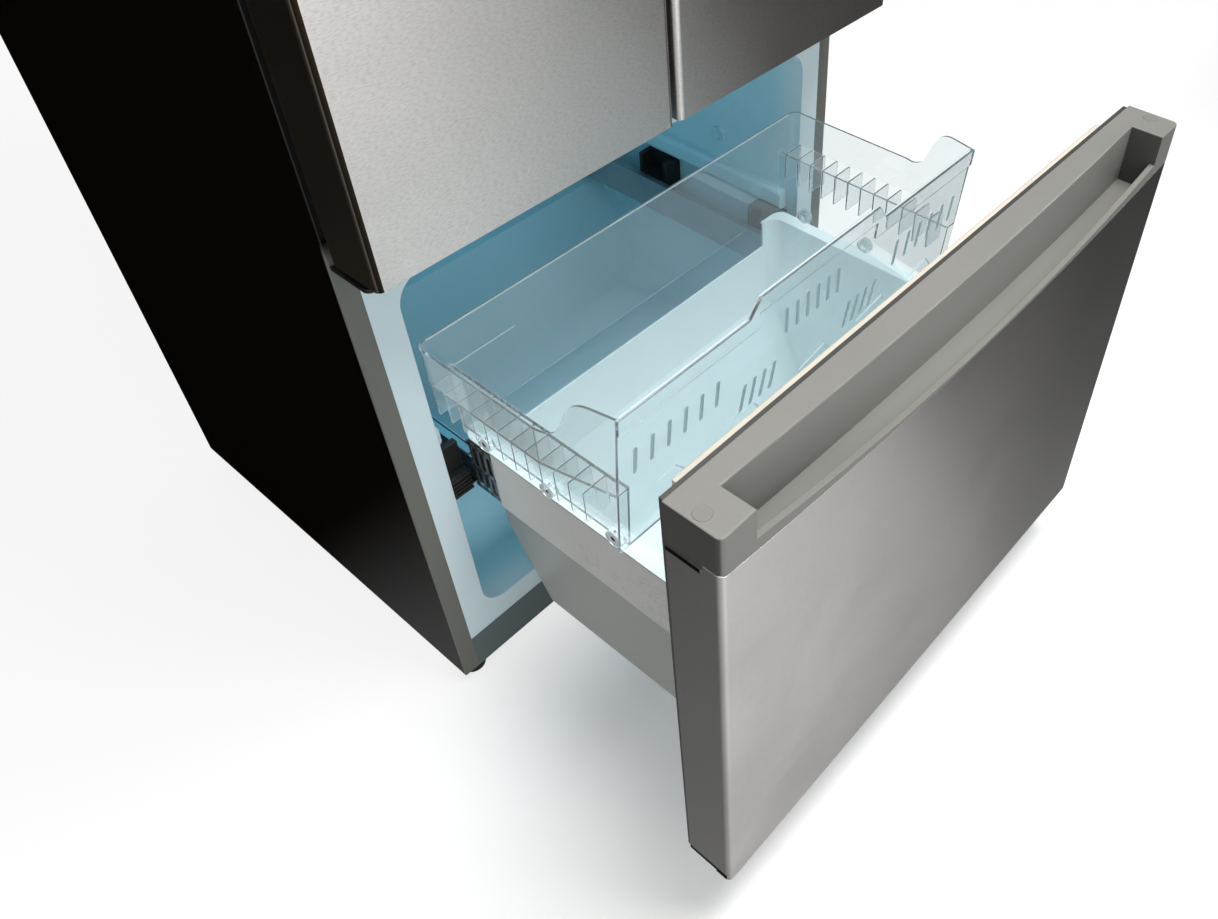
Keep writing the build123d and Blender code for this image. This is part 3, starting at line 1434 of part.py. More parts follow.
with BuildPart() as freezer_tray:
    with BuildSketch(Plane.XY.offset(tray_floor)):
        tray_plan(0)
    extrude(amount=tray_front_top - tray_floor)
    block((-skirt_half, skirt_half), (panel_foot_y - tray_lean, tray_rear), (tray_foot, tray_floor))
    with BuildSketch(Plane.XY.offset(tray_floor + tray_wall)):
        tray_plan(tray_wall)
    extrude(amount=tray_front_top - tray_floor, mode=Mode.SUBTRACT)
    cut(
        (-skirt_half + tray_wall, skirt_half - tray_wall),
        (panel_foot_y - beyond, tray_rear - tray_wall),
        (tray_foot + tray_wall, tray_front_top),
    )
    # the side walls are low at the back and sweep up to the front panel
    with BuildSketch(Plane.YZ.offset(-half)):
        with BuildLine():
            Spline(
                (ramp_rear, tray_side_top),
                ((ramp_rear + ramp_front) / 2, (tray_side_top + tray_front_top) / 2),
                (ramp_front, tray_front_top),
                tangents=((-1, 0), (-1, 0)),
            )
            Polyline(
                (ramp_front, tray_front_top),
                (ramp_front, tray_front_top + beyond),
                (tray_rear + beyond, tray_front_top + beyond),
                (tray_rear + beyond, tray_side_top),
                (ramp_rear, tray_side_top),
            )
        make_face()
    extrude(amount=width, mode=Mode.SUBTRACT)
    add(tray_ahead.part, mode=Mode.SUBTRACT)
    add(tray_front_panel.part)
    add(tray_band_part.part)
    for side in (-1, 1):
        root = skirt_half - sheet
        for step in range(rib_count):
            y = tray_rear - tray_corner - rib_pitch * step
            block(
                on_side(side, root, tray_half - sheet),
                (y - rib_thickness, y),
                (tray_floor - rib_height, tray_floor),
            )
        for place in glide_places:
            y = tray_rear - place
            tip = skirt_half + glide_length
            rod_x(on_side(side, root, tip), y, glide_z, glide_radius)
            rod_x(on_side(side, skirt_half + sheet, tip), y, glide_z, glide_hole, Mode.SUBTRACT)
save(freezer_tray.part, "freezer_tray")
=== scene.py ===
import json
import math

import bmesh
import bpy
from mathutils import Matrix, Vector


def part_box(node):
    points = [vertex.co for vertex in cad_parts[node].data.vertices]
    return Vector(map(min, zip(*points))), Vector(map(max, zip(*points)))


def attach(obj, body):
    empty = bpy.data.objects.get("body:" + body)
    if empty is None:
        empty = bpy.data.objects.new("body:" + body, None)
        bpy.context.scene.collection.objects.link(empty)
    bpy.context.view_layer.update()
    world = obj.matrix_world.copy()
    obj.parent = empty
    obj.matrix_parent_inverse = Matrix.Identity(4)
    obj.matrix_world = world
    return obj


# A bottom-freezer refrigerator with its freezer drawer pulled out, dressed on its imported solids.
# The frame is in metres: X runs to the right of someone facing the doors, Y to the back, Z up.
# The small pieces are measured in millimetres, and MM brings them to metres.

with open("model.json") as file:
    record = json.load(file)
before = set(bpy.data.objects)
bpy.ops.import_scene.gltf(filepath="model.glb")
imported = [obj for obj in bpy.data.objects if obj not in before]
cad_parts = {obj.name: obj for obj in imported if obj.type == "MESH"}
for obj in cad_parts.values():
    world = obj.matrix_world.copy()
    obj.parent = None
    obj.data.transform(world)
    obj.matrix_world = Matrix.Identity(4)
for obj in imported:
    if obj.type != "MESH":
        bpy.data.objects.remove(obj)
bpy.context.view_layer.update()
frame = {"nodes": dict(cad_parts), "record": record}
MM = 0.001
X, Y, Z = 0, 1, 2

# ---- Places read from the solids, in metres ----
FRONT_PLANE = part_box("cabinet_shell")[0].y
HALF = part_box("cabinet_shell")[1].x
BASE_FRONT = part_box("base_pan")[0].y
DOOR_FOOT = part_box("left_door_skin")[0].z
DRAWER_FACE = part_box("drawer_skin")[0].y
DRAWER_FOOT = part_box("drawer_skin")[0].z
DRAWER_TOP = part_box("drawer_cap")[1].z
INNER_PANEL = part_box("drawer_liner")[1]

# ---- Camera: the viewing angle, solved from the object's straight edges ----
EYE = Vector((-0.7647, -0.9281, 1.3795))
TO_RIGHT = Vector((0.64577588, -0.76351746, 0.00382127))
DOWNWARDS = Vector((-0.53343166, -0.45474094, -0.71320499))
AHEAD = Vector((0.54628214, 0.45853219, -0.70094511))
LENS = 31.955
SENSOR = 36.0
SHIFT = (-0.1175, -0.0497)


def set_up_camera():
    """Places the camera at the eye and leaves the picture's colours as rendered."""
    camera = bpy.data.objects.new("camera", bpy.data.cameras.new("camera"))
    bpy.context.collection.objects.link(camera)
    turn = Matrix((TO_RIGHT, -DOWNWARDS, -AHEAD)).transposed().to_4x4()
    camera.matrix_world = Matrix.Translation(EYE) @ turn
    camera.data.lens = LENS
    camera.data.sensor_width = SENSOR
    camera.data.shift_x, camera.data.shift_y = SHIFT
    camera.data.clip_start = 0.02
    bpy.context.scene.camera = camera
    bpy.context.scene.view_settings.view_transform = "Standard"


set_up_camera()


# ---- Node helpers ----
def connect(tree, socket, value):
    """Links another socket to this one, or sets its value."""
    if isinstance(value, bpy.types.NodeSocket):
        tree.links.new(value, socket)
    else:
        socket.default_value = value


def put(tree, kind, inputs=None, **settings):
    """Adds a shader node with its settings and its inputs."""
    node = tree.nodes.new("ShaderNode" + kind)
    for name, value in settings.items():
        setattr(node, name, value)
    for name, value in (inputs or {}).items():
        connect(tree, node.inputs[name], value)
    return node


def maths(tree, operation, first, second=0.0):
    """The result of a Math node."""
    return put(tree, "Math", {0: first, 1: second}, operation=operation).outputs[0]


def ramp(tree, value, start, end, low=0.0, high=1.0):
    """Moves smoothly from low to high while value goes from start to end."""
    limits = {"Value": value, "From Min": start, "From Max": end, "To Min": low, "To Max": high}
    return put(tree, "MapRange", limits, interpolation_type="SMOOTHSTEP").outputs[0]


def mixed(tree, mask, first, second):
    """A colour that goes from first to second with a mask."""
    node = put(tree, "Mix", {0: mask}, data_type="RGBA")
    for index, colour in ((6, first), (7, second)):
        whole = colour if isinstance(colour, bpy.types.NodeSocket) else (*colour, 1.0)
        connect(tree, node.inputs[index], whole)
    return node.outputs[2]


def new_group(name, inputs, outputs):
    """A shader node group with named sockets; returns it with its inner ends."""
    tree = bpy.data.node_groups.new(name, "ShaderNodeTree")
    for label, kind, value in inputs:
        socket = tree.interface.new_socket(label, in_out="INPUT", socket_type="NodeSocket" + kind)
        socket.default_value = value
    for label, kind in outputs:
        tree.interface.new_socket(label, in_out="OUTPUT", socket_type="NodeSocket" + kind)
    return tree, tree.nodes.new("NodeGroupInput").outputs, tree.nodes.new("NodeGroupOutput").inputs


def use_group(tree, group, inputs=None):
    """Places a node group in a material with its own values; returns its outputs."""
    node = tree.nodes.new("ShaderNodeGroup")
    node.node_tree = group
    for name, value in (inputs or {}).items():
        connect(tree, node.inputs[name], value)
    return node.outputs


def own_place(tree):
    """A surface point in its piece's own frame."""
    return put(tree, "TexCoord").outputs["Object"]


# ---- Shared surface effects ----
# How fine the grain is along each axis
EVEN = (900.0, 900.0, 900.0)
COARSE = (260.0, 260.0, 260.0)
BRUSHED = (7.0, 7.0, 620.0)
STREAKED = (170.0, 170.0, 720.0)
FLOWED = (22.0, 22.0, 22.0)


def make_grain():
    """Fine stretched grain over softened edges: brushing on steel, or the bite of a mould on plastic."""
    inputs = [
        ("Scale", "Vector", EVEN),
        ("Height", "Float", 0.1),
        ("Edge", "Float", 0.0006),
    ]
    tree, given, out = new_group("fine grain", inputs, [("Value", "Float"), ("Normal", "Vector")])
    ends = {0: own_place(tree), 1: given["Scale"]}
    stretched = put(tree, "VectorMath", ends, operation="MULTIPLY").outputs[0]
    noise = put(tree, "TexNoise", {"Vector": stretched, "Scale": 1.0, "Detail": 3.0, "Roughness": 0.6})
    edge = put(tree, "Bevel", {"Radius": given["Edge"]}, samples=4)
    relief = {
        "Strength": given["Height"],
        "Distance": MM,
        "Height": noise.outputs[0],
        "Normal": edge.outputs[0],
    }
    tree.links.new(noise.outputs[0], out["Value"])
    tree.links.new(put(tree, "Bump", relief).outputs[0], out["Normal"])
    return tree


def make_patches():
    """Broad uneven patches, as of handling, polish or thin dust."""
    finer_times = 14.0
    gain = 4.0
    inputs = [("Scale", "Float", 6.0), ("Contrast", "Float", 0.5), ("Fine", "Float", 0.3)]
    tree, given, out = new_group("broad patches", inputs, [("Mask", "Float")])
    where = own_place(tree)
    coarse = {"Vector": where, "Scale": given["Scale"], "Detail": 4.0, "Distortion": 0.4}
    broad = put(tree, "TexNoise", coarse).outputs[0]
    finer_scale = maths(tree, "MULTIPLY", given["Scale"], finer_times)
    small = {"Vector": where, "Scale": finer_scale, "Detail": 5.0, "Roughness": 0.65}
    fine = put(tree, "TexNoise", small).outputs[0]
    fine_share = maths(tree, "MULTIPLY", maths(tree, "SUBTRACT", fine, 0.5), given["Fine"])
    both = maths(tree, "ADD", maths(tree, "SUBTRACT", broad, 0.5), fine_share)
    spread = maths(tree, "MULTIPLY", both, given["Contrast"])
    centred = maths(tree, "ADD", maths(tree, "MULTIPLY", spread, gain), 0.5)
    clipped = put(tree, "Clamp", {"Value": centred})
    tree.links.new(clipped.outputs[0], out["Mask"])
    return tree


def make_wear_and_edge_glow():
    """Where edges and corners stand out, rubbed a little by use. Clear materials use the same mask for a
    painted glow along their edges.
    """
    still_flat = 0.995
    well_turned = 0.8
    inputs = [("Reach", "Float", 0.002), ("Break", "Float", 60.0)]
    tree, given, out = new_group("edge wear and glow", inputs, [("Mask", "Float")])
    rounded = put(tree, "Bevel", {"Radius": given["Reach"]}, samples=4).outputs[0]
    flat = put(tree, "NewGeometry").outputs["Normal"]
    turned_by = put(tree, "VectorMath", {0: rounded, 1: flat}, operation="DOT_PRODUCT").outputs["Value"]
    off = ramp(tree, turned_by, still_flat, well_turned)
    noise = put(tree, "TexNoise", {"Vector": own_place(tree), "Scale": given["Break"]}).outputs[0]
    broken = ramp(tree, noise, 0.35, 0.65, 0.2, 1.0)
    tree.links.new(maths(tree, "MULTIPLY", off, broken), out["Mask"])
    return tree


GRAIN = make_grain()
PATCHES = make_patches()
WEAR_AND_EDGE_GLOW = make_wear_and_edge_glow()


# ---- How a finish is made ----
def new_material(name):
    """A material with its node tree and its shader."""
    material = bpy.data.materials.new(name)
    material.use_nodes = True
    return material, material.node_tree, material.node_tree.nodes["Principled BSDF"]


def finish(
    name,
    colour,
    roughness,
    metallic=0.0,
    grain=EVEN,
    height=0.06,
    edge=0.0006,
    tone=0.90,
    patches=6.0,
    contrast=0.5,
    spread=0.06,
    wear=None,
    sockets=None,
):
    """A material whose colour drifts in patches down to a tone of itself, and whose gloss follows its
    grain and patches by a spread. Wear is the colour that rubbed edges show."""
    material, tree, shader = new_material(name)
    surface = use_group(tree, GRAIN, {"Scale": grain, "Height": height, "Edge": edge})
    patchy = use_group(tree, PATCHES, {"Scale": patches, "Contrast": contrast})["Mask"]
    shade = mixed(tree, patchy, [channel * tone for channel in colour], colour)
    if wear:
        shade = mixed(tree, use_group(tree, WEAR_AND_EDGE_GLOW)["Mask"], shade, wear)
    grain_share = maths(tree, "MULTIPLY", surface["Value"], 0.6)
    uneven = maths(tree, "ADD", grain_share, maths(tree, "MULTIPLY", patchy, 0.4))
    gloss = ramp(tree, uneven, 0.2, 0.8, roughness - spread, roughness + spread)
    tree.links.new(shade, shader.inputs["Base Color"])
    tree.links.new(gloss, shader.inputs["Roughness"])
    tree.links.new(surface["Normal"], shader.inputs["Normal"])
    shader.inputs["Metallic"].default_value = metallic
    for label, value in (sockets or {}).items():
        shader.inputs[label].default_value = value
    return material


def clear(name, colour, roughness, ior, clearness=1.0, edges=None):
    """A clear moulded or sheet material, with faint flow marks in its surface. Its edges get a painted glow
    where a colour is given for them, and lamps shine through it."""
    material, tree, shader = new_material(name)
    surface = use_group(tree, GRAIN, {"Scale": FLOWED, "Height": 0.05, "Edge": 0.0008})
    patchy = use_group(tree, PATCHES, {"Scale": 7.0, "Contrast": 0.6})["Mask"]
    shade = mixed(tree, patchy, [channel * 0.985 for channel in colour], colour)
    tree.links.new(shade, shader.inputs["Base Color"])
    tree.links.new(ramp(tree, patchy, 0.3, 0.9, roughness, roughness + 0.04), shader.inputs["Roughness"])
    tree.links.new(surface["Normal"], shader.inputs["Normal"])
    shader.inputs["Transmission Weight"].default_value = clearness
    shader.inputs["IOR"].default_value = ior
    # Painted glow: the edges give off light in the edge colour, though no lamp is there.
    if edges:
        glowing_edge = use_group(tree, WEAR_AND_EDGE_GLOW, {"Reach": 0.0025, "Break": 25.0})["Mask"]
        tree.links.new(mixed(tree, glowing_edge, (0.0, 0.0, 0.0), edges), shader.inputs["Emission Color"])
        shader.inputs["Emission Strength"].default_value = 1.0
    ray = put(tree, "LightPath").outputs
    let_through = maths(tree, "MAXIMUM", ray["Is Shadow Ray"], ray["Is Diffuse Ray"])
    thin = put(tree, "BsdfTransparent", {"Color": (*[channel ** 0.5 for channel in colour], 1.0)})
    both = put(tree, "MixShader", {0: let_through, 1: shader.outputs[0], 2: thin.outputs[0]})
    tree.links.new(both.outputs[0], tree.nodes["Material Output"].inputs["Surface"])
    return material


# ---- Finishes, named by the material slots of the part ----
STEEL_SOCKETS = {"Anisotropic": 0.9, "Anisotropic Rotation": 0.25}

SHEET_METAL = {
    "dark_sheet": finish(
        "black enamel", (0.0046, 0.0028, 0.0014), 0.20, height=0.015, patches=3.0, spread=0.03,
        sockets={"Specular IOR Level": 0.4},
    ),
    "grey_sheet": finish(
        "galvanised sheet", (0.36, 0.37, 0.38), 0.42, metallic=0.75, grain=COARSE, height=0.1, tone=0.78,
        patches=26.0, contrast=1.2,
    ),
    "base_sheet": finish("satin black enamel", (0.018, 0.018, 0.018), 0.45, height=0.05),
    "steel_front": finish(
        "brushed stainless steel", (0.64, 0.615, 0.60), 0.42, metallic=1.0, grain=BRUSHED, height=0.012,
        edge=0.0012, tone=0.94, patches=5.0, spread=0.03, sockets=STEEL_SOCKETS,
    ),
    "rail_steel": finish(
        "zinc-plated steel", (0.44, 0.46, 0.48), 0.34, metallic=1.0, grain=BRUSHED, height=0.05, tone=0.8,
        patches=16.0, contrast=0.9,
    ),
    "panel_grey": finish(
        "satin light grey enamel", (0.74, 0.74, 0.72), 0.32, metallic=0.2, height=0.04, tone=0.94,
    ),
    "hinge_dark": finish(
        "black-coated steel", (0.016, 0.016, 0.017), 0.36, metallic=0.3, height=0.12, wear=(0.10, 0.10, 0.10),
    ),
}

MOULDED_PARTS = {
    "liner_white": finish(
        "moulded white liner", (0.72, 0.86, 0.91), 0.30, height=0.03, edge=0.0015, tone=0.96, spread=0.04,
    ),
    "bin_white": finish(
        "moulded white bin", (0.81, 0.90, 0.92), 0.32, height=0.04, edge=0.0015, tone=0.97, spread=0.04,
    ),
    "trim_white": finish("white plastic trim", (0.74, 0.78, 0.80), 0.34, height=0.05),
    "cap_grey": finish(
        "satin warm grey plastic", (0.210, 0.210, 0.196), 0.42, height=0.10, edge=0.0008, tone=0.95,
        spread=0.05, wear=(0.26, 0.26, 0.24),
    ),
    "plug_grey": finish("satin grey plug", (0.20, 0.20, 0.187), 0.45, height=0.10, edge=0.0004),
    "black_plastic": finish(
        "grained black plastic", (0.012, 0.012, 0.012), 0.48, height=0.16, wear=(0.05, 0.05, 0.05),
    ),
    "fan_black": finish("fan plastic", (0.016, 0.016, 0.017), 0.42, height=0.12),
    "foam": finish(
        "insulation foam", (0.80, 0.70, 0.42), 0.85, grain=COARSE, height=0.5, tone=0.85, patches=30.0,
        contrast=1.0,
    ),
    "gasket_cream": finish("cream gasket rubber", (0.62, 0.58, 0.50), 0.6, height=0.12, patches=20.0),
    "mount_rubber": finish("black rubber", (0.02, 0.02, 0.02), 0.8, grain=COARSE, height=0.2),
    "lamp_lens": finish("frosted lens", (0.82, 0.83, 0.82), 0.55, grain=COARSE, height=0.2),
}

MACHINE_PARTS = {
    "compressor_black": finish(
        "compressor enamel", (0.010, 0.010, 0.011), 0.34, grain=COARSE, height=0.25,
    ),
    "coil_aluminium": finish(
        "mill aluminium", (0.62, 0.63, 0.64), 0.36, metallic=1.0, grain=BRUSHED, height=0.08,
    ),
}

STYRENE_IOR = 1.46
GLASS_IOR = 1.52
CLEAR_PARTS = {
    # The clear styrene's edge colour is a painted glow.
    "clear_plastic": clear(
        "clear styrene", (0.945, 0.985, 0.99), 0.02, STYRENE_IOR, clearness=0.94,
        edges=(0.13, 0.20, 0.23),
    ),
    "shelf_glass": clear("toughened glass", (0.90, 0.97, 0.96), 0.0, GLASS_IOR),
}
# The slots and ridges moulded into the clear tray's front
FROSTED = clear("frosted styrene", (0.72, 0.84, 0.86), 0.45, STYRENE_IOR, clearness=0.55)

FINISH = {**SHEET_METAL, **MOULDED_PARTS, **MACHINE_PARTS, **CLEAR_PARTS}

for entry in frame["record"]["subparts"]:
    for slot in frame["nodes"][entry["node"]].material_slots:
        slot.material = FINISH[entry["material_slot"]]


# ---- Masks that follow a piece's own shape ----
def own_finish(slot_name, name, node):
    """A finish's own copy, for one piece."""
    copy = FINISH[slot_name].copy()
    copy.name = name
    for slot in frame["nodes"][node].material_slots:
        slot.material = copy
    return copy


def along(material, axis):
    """A surface point's coordinate on one axis."""
    tree = material.node_tree
    return put(tree, "SeparateXYZ", {0: own_place(tree)}).outputs[axis]


def distance_out(material):
    """How far a surface point is from the middle plane."""
    return maths(material.node_tree, "ABSOLUTE", along(material, X))


def between(material, axis, low, high, soft=0.3 * MM):
    """1 between two places on an axis."""
    tree = material.node_tree
    where = along(material, axis)
    rise = ramp(tree, where, low - soft, low + soft)
    return maths(tree, "MULTIPLY", rise, ramp(tree, where, high + soft, high - soft))


def facing(material, away_from_middle):
    """1 where a surface faces left or right: either way, or only away from the middle of the object."""
    tree = material.node_tree
    normal = put(tree, "SeparateXYZ", {0: put(tree, "TexCoord").outputs["Normal"]}).outputs[X]
    side = maths(tree, "SIGN", along(material, X) if away_from_middle else normal)
    return ramp(tree, maths(tree, "MULTIPLY", normal, side), 0.55, 0.85)


def tint(material, mask, colour):
    """Lays another colour over a material where a mask says."""
    tree = material.node_tree
    target = tree.nodes["Principled BSDF"].inputs["Base Color"]
    tree.links.new(mixed(tree, mask, target.links[0].from_socket, colour), target)


# ---- Finishes that change over a piece, and the colours that they change to ----
BARE_PAN = (0.12, 0.155, 0.16)
BARE_STRIP = (0.165, 0.168, 0.150)
STREAK_GREY = (0.50, 0.48, 0.465)
DOOR_CORNER_REFLECTION = (0.020, 0.015, 0.010)
DOOR_SIDE_REFLECTION = (0.44, 0.38, 0.31)
DOOR_LINE_HIGHLIGHT = (0.20, 0.18, 0.165)
DRAWER_SHADED_GREY = (0.545, 0.545, 0.545)
DRAWER_SHADE_SHARE = 0.7
SLOT_SHADE = (0.008, 0.007, 0.006)
ARC_HIGHLIGHT = (0.99, 0.99, 0.98)
INNER_RIM = (0.06, 0.06, 0.055)
LINER_DEEP_SHADE = (0.50, 0.76, 0.84)
BIN_SIDE_SHADE = (0.42, 0.43, 0.41)
CAP_END_SHADE = (0.06, 0.06, 0.055)

# The arched top of the drawer's steel, as a circle through its low ends and its middle
ARC_LOW = DRAWER_TOP - 71.6 * MM
ARC_RISE = 24.0 * MM
ARC_RADIUS = (HALF**2 + ARC_RISE**2) / (2.0 * ARC_RISE)


def finish_cabinet():
    """The base pan's front and the shell's front edge below the doors are bare, not black."""
    base = FINISH["base_sheet"]
    base_front = ramp(base.node_tree, along(base, Y), BASE_FRONT + 3.0 * MM, BASE_FRONT + 2.0 * MM)
    tint(base, base_front, BARE_PAN)
    shell = own_finish("dark_sheet", "enamel with bare front strip", "cabinet_shell")
    tree = shell.node_tree
    at_front = ramp(tree, along(shell, Y), FRONT_PLANE + 3.0 * MM, FRONT_PLANE + 2.2 * MM)
    below_doors = ramp(tree, along(shell, Z), DOOR_FOOT + 18.5 * MM, DOOR_FOOT - 6.5 * MM)
    tint(shell, maths(tree, "MULTIPLY", at_front, below_doors), BARE_STRIP)


def finish_steel():
    """Short streaks in the brushing of every steel front."""
    steel = FINISH["steel_front"]
    tree = steel.node_tree
    streaks = use_group(tree, GRAIN, {"Scale": STREAKED, "Height": 0.0, "Edge": 0.0})["Value"]
    tint(steel, ramp(tree, streaks, 0.42, 0.66, 0.0, 0.75), STREAK_GREY)


def finish_door(door):
    """A door skin's painted reflections: its rolled corners painted dark, its sides painted darker and warm,
    and a painted highlight line where they meet.
    """
    skin = own_finish("steel_front", door.replace("_", " ") + " steel", door)
    tree = skin.node_tree
    corner = HALF - 6.5 * MM
    line = HALF - 1.2 * MM
    # Painted reflection: the rolled corners dark.
    tint(skin, ramp(tree, distance_out(skin), corner, corner + 0.6 * MM), DOOR_CORNER_REFLECTION)
    # Painted reflection: the sides darker and warm.
    tint(skin, ramp(tree, distance_out(skin), HALF - 0.8 * MM, HALF - 0.3 * MM), DOOR_SIDE_REFLECTION)
    # Painted highlight: a thin lighter line where the corner meets the side.
    off_highlight_line = maths(tree, "ABSOLUTE", maths(tree, "SUBTRACT", distance_out(skin), line))
    tint(skin, ramp(tree, off_highlight_line, 0.7 * MM, 0.3 * MM), DOOR_LINE_HIGHLIGHT)


def finish_drawer_front():
    """The drawer's steel, a darker and greyer copy of the doors' as painted shade, with painted shade in the
    slots of its ends and a painted highlight along its arched top.
    """
    steel = own_finish("steel_front", "drawer steel", "drawer_skin")
    tree = steel.node_tree
    # Painted shade: the drawer's steel is a darker, greyer copy of the doors' steel.
    tint(steel, DRAWER_SHADE_SHARE, DRAWER_SHADED_GREY)
    # Painted shade: near black in the slots under the cap and along the foot of the drawer's ends.
    ends = ramp(tree, distance_out(steel), HALF - 0.6 * MM, HALF - 0.3 * MM)
    under_cap = between(steel, Z, DRAWER_TOP - 59.6 * MM, DRAWER_TOP - 43.6 * MM)
    slot_depth = between(steel, Y, DRAWER_FACE + 23.6 * MM, DRAWER_FACE + 62.6 * MM)
    upper_slot = maths(tree, "MULTIPLY", under_cap, slot_depth)
    foot = between(steel, Z, DRAWER_FOOT - 5.6 * MM, DRAWER_FOOT + 10.9 * MM)
    painted_slot_shade = maths(tree, "MULTIPLY", ends, maths(tree, "MAXIMUM", upper_slot, foot))
    tint(steel, painted_slot_shade, SLOT_SHADE)
    # Painted highlight: a bright line just inside the arched top edge.
    level = maths(tree, "SUBTRACT", along(steel, Z), ARC_LOW + ARC_RADIUS)
    from_centre = put(tree, "CombineXYZ", {0: along(steel, X), 1: 0.0, 2: level}).outputs[0]
    reach = put(tree, "VectorMath", {0: from_centre}, operation="LENGTH").outputs["Value"]
    off_arc_highlight = maths(tree, "ABSOLUTE", maths(tree, "SUBTRACT", reach, ARC_RADIUS - 0.8 * MM))
    tint(steel, ramp(tree, off_arc_highlight, 1.3 * MM, 0.7 * MM), ARC_HIGHLIGHT)


def finish_liners():
    """The drawer's inner panel has a dark rim, and the liners are painted darker and bluer deep inside than
    in front, as painted shade.
    """
    inner = own_finish("liner_white", "drawer inner panel", "drawer_liner")
    tree = inner.node_tree
    top_rim = ramp(tree, along(inner, Z), INNER_PANEL.z - 3.2 * MM, INNER_PANEL.z - 2.6 * MM)
    side_rim = ramp(tree, distance_out(inner), INNER_PANEL.x - 3.2 * MM, INNER_PANEL.x - 2.6 * MM)
    tint(inner, maths(tree, "MAXIMUM", top_rim, side_rim), INNER_RIM)
    # Painted shade: darker and bluer from just inside the front plane backwards.
    liner = FINISH["liner_white"]
    painted_deep_shade = ramp(liner.node_tree, along(liner, Y), FRONT_PLANE + 12.0 * MM, FRONT_PLANE + 60.0 * MM)
    tint(liner, painted_deep_shade, LINER_DEEP_SHADE)


def paint_side_shade():
    """Painted shade: the bins' outward sides and the cap's ends are painted darker than their other faces."""
    bins = FINISH["bin_white"]
    cap = FINISH["cap_grey"]
    tint(bins, facing(bins, away_from_middle=True), BIN_SIDE_SHADE)
    tint(cap, facing(cap, away_from_middle=False), CAP_END_SHADE)


finish_cabinet()
finish_steel()
finish_door("left_door_skin")
finish_door("right_door_skin")
finish_drawer_front()
finish_liners()
paint_side_shade()


# ---- How a small piece is made ----
def piece(name, body, slot, build, material=None):
    """A mesh piece that build() fills, riding on a body and finished with the finish of a record's slot, or
    with a given material instead.
    """
    shape = bmesh.new()
    build(shape)
    bmesh.ops.recalc_face_normals(shape, faces=shape.faces)
    mesh = bpy.data.meshes.new(name)
    shape.to_mesh(mesh)
    shape.free()
    made = bpy.data.objects.new(name, mesh)
    bpy.context.collection.objects.link(made)
    mesh.materials.append(material or FINISH[slot])
    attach(made, body)


def angles(sides):
    """Evenly spaced angles round a full turn."""
    return [2.0 * math.pi * step / sides for step in range(sides)]


def join_rings(shape, rings):
    """Faces between one ring of points and the next."""
    for first, second in zip(rings, rings[1:]):
        for step in range(len(first)):
            after = (step + 1) % len(first)
            shape.faces.new((first[step], first[after], second[after], second[step]))


def chamfered(shape, low, high, chamfer):
    """A block with chamfered edges, between two corners in millimetres."""
    low, high = Vector(low) * MM, Vector(high) * MM
    made = bmesh.ops.create_cube(shape, size=1.0)["verts"]
    for vert in made:
        vert.co = Vector(low[i] + (high[i] - low[i]) * (vert.co[i] + 0.5) for i in range(3))
    edges = {edge for vert in made for edge in vert.link_edges}
    bmesh.ops.bevel(
        shape, geom=list(edges), offset=chamfer * MM, segments=2, profile=0.6, affect="EDGES"
    )


def turned(shape, profile, matrix, sides):
    """A turned form: its profile's (radius, height) points, in millimetres, go round the local Z axis."""
    rings = []
    for radius, height in profile:
        circle = [Vector((radius * math.cos(a), radius * math.sin(a), height)) * MM for a in angles(sides)]
        rings.append([shape.verts.new(matrix @ point) for point in circle])
    join_rings(shape, rings)
    shape.faces.new(list(reversed(rings[0])))
    shape.faces.new(rings[-1])


def facing_matrix(at, towards):
    """A frame at a point in millimetres, whose Z axis looks towards a direction."""
    turn = Vector(towards).to_track_quat("Z", "Y").to_matrix().to_4x4()
    return Matrix.Translation(Vector(at) * MM) @ turn


def bead(shape, points, radius, sides=8):
    """A round bead along straight runs across Y, in millimetres, mitred at its corners."""
    route = [Vector(point) * MM for point in points]
    rings = []
    for index, at in enumerate(route):
        before = route[max(index - 1, 0)]
        after = route[min(index + 1, len(route) - 1)]
        onwards = (after - before).normalized()
        across = onwards.cross(Vector((0.0, 1.0, 0.0))).normalized()
        up = across.cross(onwards).normalized()
        circle = [(across * math.cos(a) + up * math.sin(a)) * radius * MM for a in angles(sides)]
        rings.append([shape.verts.new(at + offset) for offset in circle])
    join_rings(shape, rings)
    shape.faces.new(list(reversed(rings[0])))
    shape.faces.new(rings[-1])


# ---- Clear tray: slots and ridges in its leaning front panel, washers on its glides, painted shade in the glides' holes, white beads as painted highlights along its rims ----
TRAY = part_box("freezer_tray")
TRAY_SIDE = TRAY[1].x / MM
TRAY_REAR = TRAY[1].y / MM
TRAY_TOP = TRAY[1].z / MM
BIN_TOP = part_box("deep_bin")[1].z / MM

# The front panel comes forward by its lean for every millimetre that it rises from its foot
FRONT_FOOT_Y = TRAY_REAR - 280.0
FRONT_FOOT_Z = BIN_TOP + 4.0
FRONT_LEAN = 0.0883
FRONT_RIM_Z = TRAY_TOP - 24.0
RAISED_RIM_Z = TRAY_TOP - 1.4

SLOT_WIDTH = 5.0
SLOT_SIDES = 20
SLOT_RIM = 1.0
RIM_HEIGHT = 0.7
RIM_ROOT = 0.3
PAD_HEIGHT = 0.1

RIDGE_Z = TRAY_TOP - 164.0
REAR_RIM_Z = TRAY_TOP - 89.2
REAR_RIDGE_Z = TRAY_TOP - 143.5
RIM_LINE_BACK = 2.0

